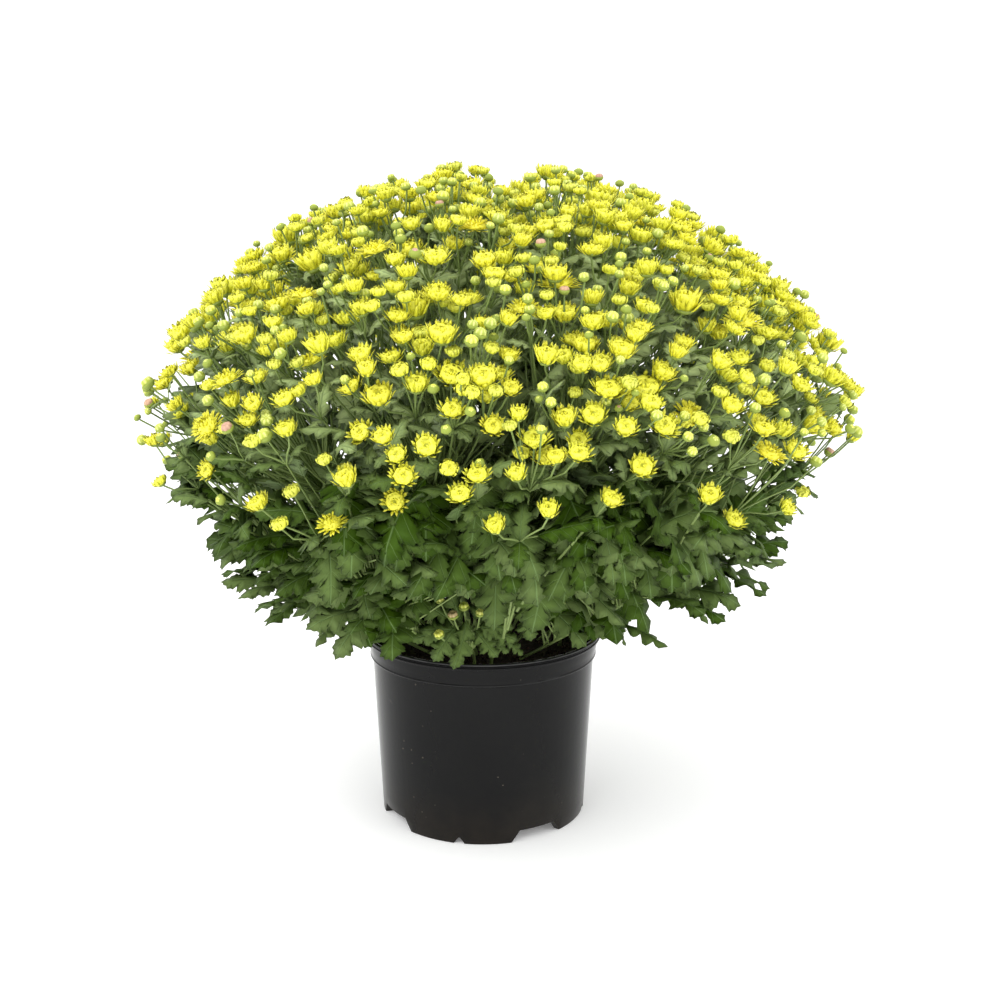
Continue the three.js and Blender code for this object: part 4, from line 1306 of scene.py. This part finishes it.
# %% Leaves of the solid model
DOME_LEAVES = 3
DOME_LEAF = {"turn": 0.25, "luck": 0.5, "edge": 0.8, "reach": 0.85, "heel edge": 0.3, "hold": 0.64}
SKIRT_TIERS = (
    {"tip": 63.5, "reach": 0.89, "heel": 58, "hold": 0.62, "spread": 10.5, "count": 3, "size": 1},
    {"tip": 68.5, "reach": 0.92, "heel": 54, "hold": 0.58, "spread": 7, "count": 2, "size": 1},
    {"tip": 70, "reach": 0.78, "heel": 55.5, "hold": 0.46, "spread": 6.5, "count": 2, "size": 0.76},
)


def solid_leaf_length(seed):
    return (52 + 8 * (chance(seed, 20) - 0.5)) * mm


for cell in range(CELLS):
    is_skirt = cell_tilts[cell] == SKIRT_TILT
    seed = cell * 16
    for k in range(1 if is_skirt else DOME_LEAVES):
        luck = chance(cell * 16 + k, 24) - 0.5
        turn = (k + DOME_LEAF["turn"] + DOME_LEAF["luck"] * luck) * 2 * math.pi / DOME_LEAVES
        edge = edge_angle(cell, turn)
        outward = lean(axes[cell], edge * DOME_LEAF["edge"], turn)
        inward = lean(axes[cell], edge * DOME_LEAF["heel edge"], turn)
        heel = APEX + inward * reaches[cell] * DOME_LEAF["hold"]
        tip = APEX + outward * reach(outward) * DOME_LEAF["reach"]
        if meets_head(tip, tip - heel, solid_leaf_length(seed)):
            tip = tip - outward * LEAF_STEP
        add_leaf(cell, tip, tip - heel, axes[cell], solid_leaf_length(seed), seed)
        seed += 1
    for tier in SKIRT_TIERS if is_skirt else ():
        for k in range(tier["count"]):
            offset = math.radians(tier["spread"] * (2 * k - tier["count"] + 1) / (tier["count"] - 1))
            jitter = 3 * (chance(seed, 22) - 0.5)
            tip_axis = heading(math.radians(tier["tip"] + jitter), np.float64(cell_turns[cell] + offset))
            heel_axis = heading(math.radians(tier["heel"]), np.float64(cell_turns[cell] + offset * 0.3))
            heel = APEX + heel_axis * reaches[cell] * tier["hold"]
            tip = APEX + tip_axis * reach(tip_axis) * tier["reach"]
            if is_free_of_shoots(heel, tip) and not hides_soil(tip):
                sky = np.array([tip_axis[0], tip_axis[1], 0.8])
                add_leaf(cell, tip, tip - heel, sky, solid_leaf_length(seed) * tier["size"], seed)
                seed += 1
print(len(leaf_list), "leaves of the solid model")

# %% Leaves that fill the dome
FILL_LEAVES = 2150
INNER_EVERY = 4
DOME_FILL = {"part": (0.77, 0.18), "length": (28, 18)}
SKIRT_FILL = {"part": (0.42, 0.51), "shorter": 0.13, "length": (46, 24)}
INNER_FILL = {"part": (0.42, 0.30), "length": (44, 20)}
SKIRT_FROM, SKIRT_EDGE = math.radians(52), math.radians(66.5)
RIM_RADIUS, RIM_HEIGHT = 0.112, 0.168
ABOVE_OPENING = 0.035


def within(span, luck):
    """A value in a span, which is given as its least value and how much more there can be."""
    return span[0] + span[1] * luck


for number in range(FILL_LEAVES):
    luck = [float(chance(number, channel)) for channel in range(60, 68)]
    tilt = math.acos(1 - luck[0] * (1 - math.cos(SKIRT_EDGE)))
    turn = 2 * math.pi * luck[1]
    direction = heading(tilt, np.float64(turn))
    hang = float(ramp(tilt, SKIRT_FROM, SKIRT_EDGE))
    is_inner = number % INNER_EVERY == 0
    if is_inner:
        part = within(INNER_FILL["part"], luck[2])
        length = within(INNER_FILL["length"], luck[6]) * mm
    else:
        low = within(SKIRT_FILL["part"], luck[2]) - SKIRT_FILL["shorter"] * hang * luck[2]
        part = within(DOME_FILL["part"], math.sqrt(luck[2])) * (1 - hang) + low * hang
        length = within(DOME_FILL["length"], luck[6]) * (1 - hang)
        length = (length + within(SKIRT_FILL["length"], luck[6]) * hang) * mm
    tip = APEX + direction * reach(direction) * part
    if not is_inner and is_gap(tip):
        continue
    if hides_soil(tip):
        tip[2] = opening_edge(tip) + ABOVE_OPENING * luck[7]
    if math.hypot(tip[0] - pot_x, tip[1]) < RIM_RADIUS and tip[2] < RIM_HEIGHT:
        continue
    outward = np.array([math.cos(turn), math.sin(turn), 0.0])
    across = np.array([-outward[1], outward[0], 0.0]) * (luck[3] - 0.5) * 2
    standing = direction * 0.7 + across * 0.9 + UP * (0.5 * luck[4] - 0.35)
    hanging = outward * 0.6 + across * 0.55 - UP * (0.15 + 0.85 * luck[4])
    forward = standing * (1 - hang) + hanging * hang
    sky = direction + UP * (0.5 - 0.3 * hang) + across * (luck[5] - 0.5)
    if meets_head(tip, forward, length):
        tip = tip - direction * LEAF_STEP
    if is_free_of_shoots(tip, tip - unit(forward) * length) and not meets_head(tip, forward, length):
        add_leaf(cell_towards(direction), tip, forward, sky, length, 5000 + number, is_plain=is_inner)
print(len(leaf_list), "leaves with those that fill the dome")

# %% Leaves round the opening and at the forks
VALANCE = {
    "count": 58, "wider": 1.3, "from axis": (0.225, 0.035), "above": (-0.006, 0.036), "length": (50, 20),
}
HANGING = ((1, -205, 222, 62), (24, -198, 216, 58))
FORK_LEAF = (16, 12)

for number in range(VALANCE["count"]):
    luck = [float(chance(number, channel)) for channel in range(72, 78)]
    part = 2 * (number + luck[0]) / VALANCE["count"] - 1
    turn = OPENING["turn"] + OPENING["half"] * VALANCE["wider"] * part
    outward = np.array([math.cos(turn), math.sin(turn), 0.0])
    across = np.array([-outward[1], outward[0], 0.0]) * (luck[1] - 0.5)
    tip = POT_AXIS + outward * within(VALANCE["from axis"], luck[2])
    tip[2] = opening_edge(tip) + within(VALANCE["above"], luck[3])
    forward = outward * 0.45 + across * 0.9 - UP * (0.7 + 0.3 * luck[4])
    sky = outward + UP * 0.4 + across
    length = within(VALANCE["length"], luck[5]) * mm
    add_leaf(cell_towards(unit(tip - APEX)), tip, forward, sky, length, 8000 + number)
for number, (x, y, z, length) in enumerate(HANGING):
    tip = np.array([x, y, z]) * mm
    forward = np.array([0.15 - 0.3 * number, -0.35, -1])
    add_leaf(cell_towards(unit(tip - APEX)), tip, forward, np.array([0, -1, 0.4]), length * mm, 8200 + number)
for number, (fork, outward, cell) in enumerate(forks):
    side, rise = frame_of(outward)
    for half_turn in (0, 1):
        seed = 2 * number + half_turn
        turn = 2 * math.pi * (float(chance(number, 70)) + half_turn * 0.5)
        forward = unit(outward * 0.5 + side * math.cos(turn) + rise * math.sin(turn))
        length = within(FORK_LEAF, float(chance(seed, 71))) * mm
        tip = fork + forward * length
        if not meets_head(tip, forward, length):
            add_leaf(cell, tip, forward, outward + UP * 0.3, length, 9000 + seed, fork, True)
print(len(leaf_list), "leaves in all")

# %% What a leaf stalk carries
PLAIN_LEAF = 6
# Leaves above the first height are painted pale, as painted light, and those below the second are painted
# dark, as painted shade.
PAINTED_LIGHT_FROM, PAINTED_SHADE_TO = 0.42, 0.32
TINT_LUCK, LOW_LEAF_SHADE = 0.3, 0.75


def leaf_end(leaf):
    """What a leaf stalk carries at its end: the leaf's shape, size, turn, and tone with painted light and
    shade.
    """
    side = unit(np.cross(leaf["forward"], leaf["sky"]))
    up = np.cross(side, leaf["forward"])
    # Part of the tone is random. The rest is painted light high on the dome and painted shade low down.
    low = ramp(leaf["tip"][2], PAINTED_LIGHT_FROM, PAINTED_SHADE_TO)
    shape = PLAIN_LEAF if leaf["is_plain"] else int(chance(leaf["seed"], 51) * 3) + 3 * leaf["is_large"]
    tint = TINT_LUCK * float(chance(leaf["seed"], 52)) + LOW_LEAF_SHADE * low
    return {
        "shape": shape, "size": leaf["length"], "turn": turned(side, leaf["forward"], up),
        "tint": leaf.get("tint", tint),
    }


# %% Stems and leaf stalks
STEM = {"thick": 0.0024, "thin": 0.35, "depth": 0.02, "neck": 0.36, "end": 0.5}
FRONT_LIFT, FRONT_HALF = 0.45, 0.3
PETIOLE = {"thick": 0.0008, "foot": 1.4, "drop": 0.03, "lowest": 0.05, "highest": 0.6}
stem_paths = [Paths() for _ in range(CELLS)]

stem_axes = axes.copy()
for cell in range(CELLS):
    off = abs(math.remainder(cell_turns[cell] - OPENING["turn"], 2 * math.pi))
    if cell_tilts[cell] == SKIRT_TILT and off < FRONT_HALF:
        stem_axes[cell] = unit(axes[cell] + UP * FRONT_LIFT)

for cell, paths in enumerate(stem_paths):
    foot = APEX + axes[cell] * (SOIL_Z - APEX[2]) / axes[cell][2]
    neck = APEX + stem_axes[cell] * reaches[cell] * STEM["neck"]
    end = neck + (hubs[cell] - neck) * STEM["end"]
    paths.path([foot - UP * STEM["depth"], foot, neck, end], STEM["thick"], STEM["thick"] * STEM["thin"])

for leaf in leaf_list:
    cell = leaf["cell"]
    base = leaf["tip"] - leaf["forward"] * leaf["length"]
    start = leaf["start"]
    if start is None:
        along = (base - APEX) @ stem_axes[cell] - PETIOLE["drop"]
        highest = reaches[cell] * PETIOLE["highest"]
        start = APEX + stem_axes[cell] * min(max(along, PETIOLE["lowest"]), highest)
    petiole = [start, base] if leaf["is_plain"] else bent(start, base, unit(base - start), leaf["forward"], 3)
    stem_paths[cell].path(petiole, PETIOLE["thick"] * PETIOLE["foot"], PETIOLE["thick"], leaf_end(leaf))
print(sum(len(paths.points) for paths in stem_paths), "points in the paths of the leafy stems")

# %% The leafy stems grow
shapes = kit("leaves", leaf_meshes)
no_cups = kit("no_cups", [make_mesh("nothing", [], [])])
total = 0
for cell, paths in enumerate(stem_paths):
    name = f"leafy_stem_{cell + 1:02d}"
    piece = grow_paths("leaves_" + name, paths, shapes, no_cups, THIN_SIDES, LEAF)
    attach(piece, "root")
    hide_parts(name)
    total += count_triangles(piece.data)
print(total, "triangles in the leafy stems")

# %% [markdown]
# ## Low shoots
# Two short shoots lean over the rim, one in front and one on the right, each with a tuft of small leaves
# and a few buds. They grow by the same rule as the stems. Only their paths are drawn, in
# millimetres: the stem from the pot's axis, and buds (with how pink they are) and leaves (from foot to
# tip) from the crook of the shoot.

# %% Low shoots
SHOOTS = {
    "front_shoot": {
        "root": (-7, -64, 143), "crook": (-10, -107, 171),
        "buds": (
            (-22, -8, 44, 0.1), (-12, -13, 33, 1.0), (8, -10, 34, 0.2), (-4, -4, 37, 0.0), (20, -8, 32, 0.0),
            (-22, -16, 19, 0.1),
        ),
        "leaves": (
            ((-2, -6, 30), (-8, -19, -7)), ((-11, -6, 24), (-27, -17, -1)), ((-14, -4, 24), (-46, -8, 11)),
            ((-13, 0, 26), (-41, -2, 44)), ((8, -5, 24), (37, -9, 13)), ((4, -6, 22), (21, -16, 2)),
            ((8, 0, 26), (33, 0, 43)), ((-6, 2, 26), (-20, -4, 56)), ((4, 2, 28), (14, -4, 54)),
            ((-8, -4, 20), (-38, -14, 26)), ((6, -2, 20), (30, -14, 28)),
            ((16, -2, 14), (30, -8, 3)), ((28, -2, 12), (43, -6, 3)), ((42, 4, 42), (50, -4, 12)),
            ((24, -2, 42), (25, -8, 12)), ((30, 6, 64), (27, 0, 26)), ((48, 10, 66), (38, 2, 30)),
        ),
    },
    "right_shoot": {
        "root": (66, 0, 143), "crook": (109, 0, 171),
        "buds": ((-2, -14, -2, 0.1), (-16, -20, -8, 0.0), (14, 8, 14, 0.1)),
        "leaves": (
            ((4, -4, 2), (14, -15, -24)), ((4, -3, 6), (33, -6, 2)), ((0, -6, 4), (2, -30, -13)),
            ((-2, -6, 6), (-12, -32, 9)), ((2, -2, 8), (14, -10, 32)), ((0, 5, 4), (-8, 32, -8)),
            ((4, 4, 2), (20, 20, -18)), ((2, 3, 8), (8, 24, 20)),
        ),
    },
}


# %% The shoots grow
# The shoot leaves get a fixed dark tone, as painted shade, like the low leaves of the skirt.
SHOOT = {"thick": 0.0017, "thin": 0.6, "sides": 5, "petiole": 1.3, "tint": 0.85}

shoot_pieces = {}
for name, shoot in SHOOTS.items():
    root, crook = (POT_AXIS + np.array(shoot[key]) * mm for key in ("root", "crook"))
    outward = unit(np.array([crook[0] - pot_x, crook[1], 0.0]))
    stem = [root - UP * STEM["depth"]] + bent(root, crook, UP, outward, 8)
    paths = Paths()
    paths.path(stem, SHOOT["thick"], SHOOT["thick"] * SHOOT["thin"])
    buds = Paths()
    for number, (x, y, z, blush) in enumerate(shoot["buds"]):
        base = crook + np.array([x, y, z]) * mm
        axis = unit(unit(base - crook) + UP * 1.2 + outward * 0.5)
        side, rise = frame_of(axis)
        stalk = bent(crook - outward * 0.01, base, unit(outward + UP), axis, 5)
        buds.path(stalk, STALK_THICK, STALK_THICK * 0.9, {
            "shape": BUD, "size": (3.6 + 0.5 * (number % 2)) * mm, "turn": turned(side, rise, axis),
            "ripe": 0.12 + 0.05 * number, "blush": blush * 0.5,
        })
    for k, (foot, tip) in enumerate(shoot["leaves"]):
        foot, tip = crook + np.array(foot) * mm, crook + np.array(tip) * mm
        leaf = {"forward": unit(tip - foot), "sky": UP * 0.7 + outward, "length": np.linalg.norm(tip - foot),
                "tip": tip, "seed": 900 + k, "is_large": True, "is_plain": False, "tint": SHOOT["tint"]}
        petiole = bent(crook - outward * 0.012, foot, unit(outward + UP), leaf["forward"], 3)
        paths.path(petiole, PETIOLE["thick"] * SHOOT["petiole"], PETIOLE["thick"], leaf_end(leaf))
    leafy = grow_paths(name + "_leaves", paths, shapes, no_cups, SHOOT["sides"], LEAF)
    shoot_pieces[name] = (leafy, buds)

discard(shapes)
shapes = kit("heads", bloom_meshes)
cups = kit("cups", calyx_meshes)
for name, (leafy, buds) in shoot_pieces.items():
    budded = grow_paths(name + "_buds", buds, shapes, cups, SHOOT["sides"], PETAL)
    for piece, slot in ((leafy, "foliage"), (budded, "flowers")):
        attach(piece, "root")
    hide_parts(name)
discard(shapes)
discard(cups)
discard(no_cups)
print("two shoots")

# %% [markdown]
# ## The pot
# A nursery pot is blown or moulded in black plastic: tapered, with a stepped band and a rolled lip on top.
# It stands on four feet, with wide gaps between them and a small notch in each. A turned profile gives all
# of that if the foot's lowest ring rises where a gap is, so no cutting is needed except for the drain
# holes. The plastic is a satin black. This pot has stood in a nursery, so it is a little dusty and smeared
# with soil near the ground. Thin pale lines painted along the lip and the band's lower edge are painted
# highlights.

# %% The pot's profile
BASE, NECK, BAND, RIM, LIP = 88.5, 95.5, 97.2, 99.6, 101.5
FLOOR_Z, NECK_Z, TOP_Z = 12, 140, 160
WALL, FOOT_WIDTH, FLOOR_THICK = 2.6, 6.5, 3.0
FLOOR_TOP = FLOOR_Z + FLOOR_THICK
GAP = {"angle": 31, "half_low": 15.5, "half_high": 10.9, "height": 10}
NOTCH = {"angle": -13, "half_low": 3.0, "half_high": 0.4, "height": 5.3}
WELL, FOOT_INSIDE, FOOT_TOP, OUTSIDE = 55, 60, 10.5, BASE - 3
POT_STEP = 2


def bore(height):
    """The pot's inner radius at a height, in millimetres."""
    if height > NECK_Z:
        return NECK - WALL + (height - NECK_Z) / (TOP_Z - NECK_Z) * (LIP - NECK - WALL + 1)
    return BASE - WALL + height / NECK_Z * (NECK - BASE)


def foot_lift(turn):
    """How far the foot's edge is raised, in millimetres, at an angle from +X in degrees."""
    lift = 0.0
    for cut in (GAP, NOTCH):
        off = abs((turn + 90 - cut["angle"] + 45) % 90 - 45)
        lift = max(lift, cut["height"] * ramp(off, cut["half_low"], cut["half_high"]))
    return lift


def wall(height):
    return BASE + (NECK - BASE) * height / NECK_Z


profile = [
    (0, FLOOR_Z), (WELL, FLOOR_Z), (BASE - FOOT_WIDTH - 2, FLOOR_Z), (BASE - FOOT_WIDTH - 0.2, 1.0),
    (BASE - FOOT_WIDTH + 0.1, 0.25), (BASE - FOOT_WIDTH + 0.7, 0), (BASE - 0.9, 0), (BASE - 0.2, 0.3),
    *[(wall(height), height) for height in (1.0, 11, *range(20, 140, 12))],
    (NECK - 0.1, 138.9), (NECK + 0.3, 139.2), (BAND - 0.3, 139.5), (BAND + 0.3, 139.9), (BAND + 0.6, 140.5),
    (BAND + 0.5, 141.1), (BAND + 0.1, 141.5), (BAND, 142.2), (BAND + 0.9, 146.5), (BAND + 1.5, 150.5),
    (RIM - 0.6, 153.4), (RIM - 0.5, 154.2), (RIM, 154.7), (LIP - 0.8, 154.9), (LIP - 0.2, 155.3),
    (LIP, 155.9), (LIP - 0.2, 156.5), (LIP - 0.9, 156.9), (LIP - 1.0, 157.4), (LIP - 0.5, 157.9),
    (LIP - 0.1, 158.4), (LIP - 0.1, 159.0), (LIP - 0.4, 159.6), (LIP - 1.0, 159.9), (LIP - 2.0, 160.0),
    (LIP - 3.4, 159.9),
    (bore(TOP_Z), 159.3), (bore(158), 157.8), (bore(150), 150), (bore(NECK_Z), NECK_Z), (bore(80), 80),
    (bore(FLOOR_TOP), FLOOR_TOP), (WELL, FLOOR_TOP), (0, FLOOR_TOP),
]
turns = set(np.arange(0, 360, POT_STEP))
for quarter in range(4):
    for cut in (GAP, NOTCH):
        for half in (cut["half_low"], cut["half_high"], -cut["half_high"], -cut["half_low"]):
            turns.add((cut["angle"] + half - 90 + 90 * quarter) % 360)


def pot_point(radius, height, turn):
    """A point of the pot. The foot is raised where it has a gap or a notch, and keeps to the wall."""
    raised = height
    if height < FOOT_TOP and radius > FOOT_INSIDE:
        raised = max(height, min(height, 1) + foot_lift(turn))
    here = radius + (wall(raised) - wall(height)) * (radius > OUTSIDE)
    angle = math.radians(turn)
    return (pot_x + here * mm * math.cos(angle), here * mm * math.sin(angle), raised * mm)


pot = bpy.data.objects.new("nursery_pot", spun("nursery_pot", profile, sorted(turns), pot_point))
scene.collection.objects.link(pot)
print(len(profile), "rings in the pot")

# %% Drain holes
DRAIN = {"radius": 6.0 * mm, "from axis": 58.0 * mm, "height": 0.0135, "depth": 0.012, "sides": 24}

drills = bmesh.new()
for quarter in range(4):
    turn = math.radians(GAP["angle"] - 90 + 90 * quarter)
    x, y = DRAIN["from axis"] * math.cos(turn), DRAIN["from axis"] * math.sin(turn)
    bmesh.ops.create_cone(
        drills, cap_ends=True, segments=DRAIN["sides"], radius1=DRAIN["radius"], radius2=DRAIN["radius"],
        depth=DRAIN["depth"], matrix=Matrix.Translation((pot_x + x, y, DRAIN["height"])),
    )
drill_mesh = bpy.data.meshes.new("drills")
drills.to_mesh(drill_mesh)
drills.free()
drill = bpy.data.objects.new("drills", drill_mesh)
scene.collection.objects.link(drill)
cut = pot.modifiers.new("drain", "BOOLEAN")
cut.operation = "DIFFERENCE"
cut.solver = "EXACT"
cut.object = drill
plain = bpy.data.meshes.new_from_object(pot.evaluated_get(bpy.context.evaluated_depsgraph_get()))
pot.modifiers.clear()
pot.data = plain
bpy.data.objects.remove(drill)
plain.shade_smooth()
plain.set_sharp_from_angle(angle=math.radians(38))
print(len(plain.polygons), "faces in the pot")


# %% Pot finish
def pot_finish():
    material, sheet = new_finish("black_plastic")
    cloudy = sheet.noise(14, 4.0)
    fine = sheet.noise(260, 3.0)
    specks = sheet.node("ShaderNodeTexVoronoi", {
        "Vector": sheet.node("ShaderNodeTexCoord").out("Object"), "Scale": 120.0, "Randomness": 1.0,
    }, feature="F1", distance="EUCLIDEAN")
    dust = sheet.clamped((0.075 - specks) * 60) * sheet.clamped((sheet.noise(23, 2.0) - 0.5) * 8)
    colour = sheet.mixed(cloudy, (0.0022, 0.0022, 0.0024), (0.0072, 0.0072, 0.0072))
    smear = sheet.clamped((sheet.noise(9, 5.0) - 0.56) * 4)
    colour = sheet.mixed(smear * 0.5, colour, (0.024, 0.022, 0.018))
    colour = sheet.mixed(dust * fine, colour, (0.20, 0.17, 0.13))
    place = sheet.node("ShaderNodeSeparateXYZ", {"Vector": sheet.node("ShaderNodeTexCoord").out("Object")})
    low = sheet.clamped(1 - place.out("Z") * 22)
    colour = sheet.mixed(low * sheet.noise(60, 3.0) * 0.35, colour, (0.050, 0.036, 0.022))
    # Painted highlights: thin pale grey lines along the band's lower edge and the top of the lip, broken up
    # by noise, stand in for the glints of those edges.
    for height, width, glint_strength in ((0.1405, 1400, 0.12), (0.1593, 1500, 0.8)):
        edge = sheet.clamped(1 - sheet.maths("ABSOLUTE", place.out("Z") - height) * width)
        painted_glints = edge * sheet.clamped(sheet.noise(31, 2.0) * 2 - 0.3) * glint_strength
        colour = sheet.mixed(painted_glints, colour, (0.16, 0.16, 0.16))
    roughness = 0.09 + cloudy * 0.12 + dust * 0.3 + low * 0.1
    seal(sheet, colour, roughness, fine * 0.5 + cloudy, 0.00012, {"Specular IOR Level": 0.145})
    return material


plain.materials.clear()
plain.materials.append(pot_finish())
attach(pot, "root")
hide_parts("pot")

# %% [markdown]
# ## The potting soil
# The pot is filled with dark, crumbly compost, almost hidden by the leaves. A disc of mesh is given a
# rough top, and Geometry Nodes strew crumbs of a few sizes on it.

# %% Soil block
SOIL_ROUGH = 1.6
SOIL_SIDES, SOIL_RINGS = 72, 20
SOIL_GAP = 1
SOIL_BOTTOM, SOIL_TOP = FLOOR_TOP + 0.3, SOIL_Z / mm


def soil_point(radius, height, k):
    """A point of the soil, whose top is rough."""
    turn = 2 * math.pi * k / SOIL_SIDES
    x, y = radius * math.cos(turn), radius * math.sin(turn)
    bump = noise.noise((x * 0.09, y * 0.09, 3.0)) + 0.6 * noise.noise((x * 0.3, y * 0.3, 7.0))
    rough = SOIL_ROUGH * mm * bump * (height == SOIL_TOP)
    return (pot_x + x * mm, y * mm, height * mm + rough)


levels = [(0, SOIL_BOTTOM)]
levels += [(bore(height) - SOIL_GAP, height) for height in (SOIL_BOTTOM, 60, 100, 142)]
levels += [((bore(NECK_Z) - SOIL_GAP) * (1 - k / SOIL_RINGS), SOIL_TOP) for k in range(1, SOIL_RINGS + 1)]
soil_mesh = spun("soil", levels, range(SOIL_SIDES), soil_point)
print(len(soil_mesh.polygons), "faces in the soil block")

# %% Crumbs on the soil
CRUMB_SIZES = (0.4, 1.5)
CRUMB_TURN = (6.28, 6.28, 6.28)
FACES_UP = 0.6
CRUMB_DENSITY = 22000.0

crumb_sheet, given = plan("crumbs", {
    "Crumbs": "Collection", "Density": "Float", "Material": "Material", "Seed": "Int",
})
normal = crumb_sheet.node("ShaderNodeSeparateXYZ", {"Vector": crumb_sheet.node("GeometryNodeInputNormal")})
scattered = crumb_sheet.node("GeometryNodeDistributePointsOnFaces", {
    "Mesh": given.out("Geometry"), "Selection": crumb_sheet.maths("GREATER_THAN", normal.out("Z"), FACES_UP),
    "Density": given.out("Density"), "Seed": given.out("Seed"),
})
crumbs = crumb_sheet.node("GeometryNodeInstanceOnPoints", {
    "Points": scattered,
    "Instance": crumb_sheet.node("GeometryNodeCollectionInfo", {
        "Collection": given.out("Crumbs"), "Separate Children": True, "Reset Children": True,
    }),
    "Pick Instance": True,
    "Rotation": crumb_sheet.node("FunctionNodeRandomValue", {
        "Min": (0, 0, 0), "Max": CRUMB_TURN, "Seed": given.out("Seed"),
    }, data_type="FLOAT_VECTOR"),
    "Scale": crumb_sheet.node("FunctionNodeRandomValue", {
        "Min": CRUMB_SIZES[0], "Max": CRUMB_SIZES[1], "Seed": given.out("Seed") + 1,
    }, data_type="FLOAT"),
})
crumbs = crumb_sheet.node("GeometryNodeRealizeInstances", {"Geometry": crumbs})
both = crumb_sheet.node("GeometryNodeJoinGeometry", {"Geometry": [crumbs, given.out("Geometry")]})
both = crumb_sheet.node("GeometryNodeSetMaterial", {"Geometry": both, "Material": given.out("Material")})
crumb_sheet.node("NodeGroupOutput", {"Geometry": both})


def crumb(seed, stretch):
    """A lump of compost about three millimetres across."""
    shape = bmesh.new()
    bmesh.ops.create_icosphere(shape, subdivisions=1, radius=1.5 * mm)
    for number, vertex in enumerate(shape.verts):
        vertex.co *= 0.7 + 0.6 * float(chance(number, seed))
        vertex.co.x *= stretch
    mesh = bpy.data.meshes.new("crumb")
    shape.to_mesh(mesh)
    shape.free()
    return mesh


def soil_finish():
    material, sheet = new_finish("potting_soil")
    lumps = sheet.noise(190, 4.0)
    colour = sheet.mixed(lumps, (0.006, 0.0045, 0.003), (0.050, 0.030, 0.018))
    chips = sheet.clamped((sheet.noise(330, 1.0) - 0.62) * 8)
    colour = sheet.mixed(chips * 0.6, colour, (0.16, 0.085, 0.045))
    seal(sheet, colour, 0.95, lumps, 0.0012)
    return material


crumb_kit = kit("crumbs", [crumb(81, 1.0), crumb(82, 1.5), crumb(83, 0.8), crumb(84, 2.6)])
soil = grown("soil_top", soil_mesh, crumb_sheet, {
    "Crumbs": crumb_kit, "Density": CRUMB_DENSITY, "Material": soil_finish(), "Seed": 5,
})
discard(crumb_kit)
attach(soil, "root")
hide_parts("potting_soil")
print(len(soil.data.polygons), "faces in the soil")

# %% [markdown]
# ## The floor and the last counts
# The floor is only a stage for the picture, so it isn't part of the plant. The last lines count the
# triangles, measure the bounds of the plant, and close the lesson.

# %% Floor
FLOOR_SIZE = 16.0
FLOOR_COLOUR = (0.97, 0.97, 0.97)
FLOOR_GLOW = 0.13

corners = [(x * FLOOR_SIZE, y * FLOOR_SIZE, 0) for x, y in ((-1, -1), (1, -1), (1, 1), (-1, 1))]
floor_data = make_mesh("floor", corners, [(0, 1, 2, 3)])
floor = bpy.data.objects.new("floor", floor_data)
scene.collection.objects.link(floor)
paint, sheet = new_finish("pale_floor")
seal(sheet, (*FLOOR_COLOUR, 1), 1.0, fixed={"Emission Color": (1, 1, 1, 1), "Emission Strength": FLOOR_GLOW})
floor_data.materials.append(paint)
floor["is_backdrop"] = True

# %% The end of the lesson
added = [body for body in scene.objects if body.type == "MESH" and body not in plain_solids | {floor}]
print(sum(count_triangles(body.data) for body in added), "triangles in all")
low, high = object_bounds()
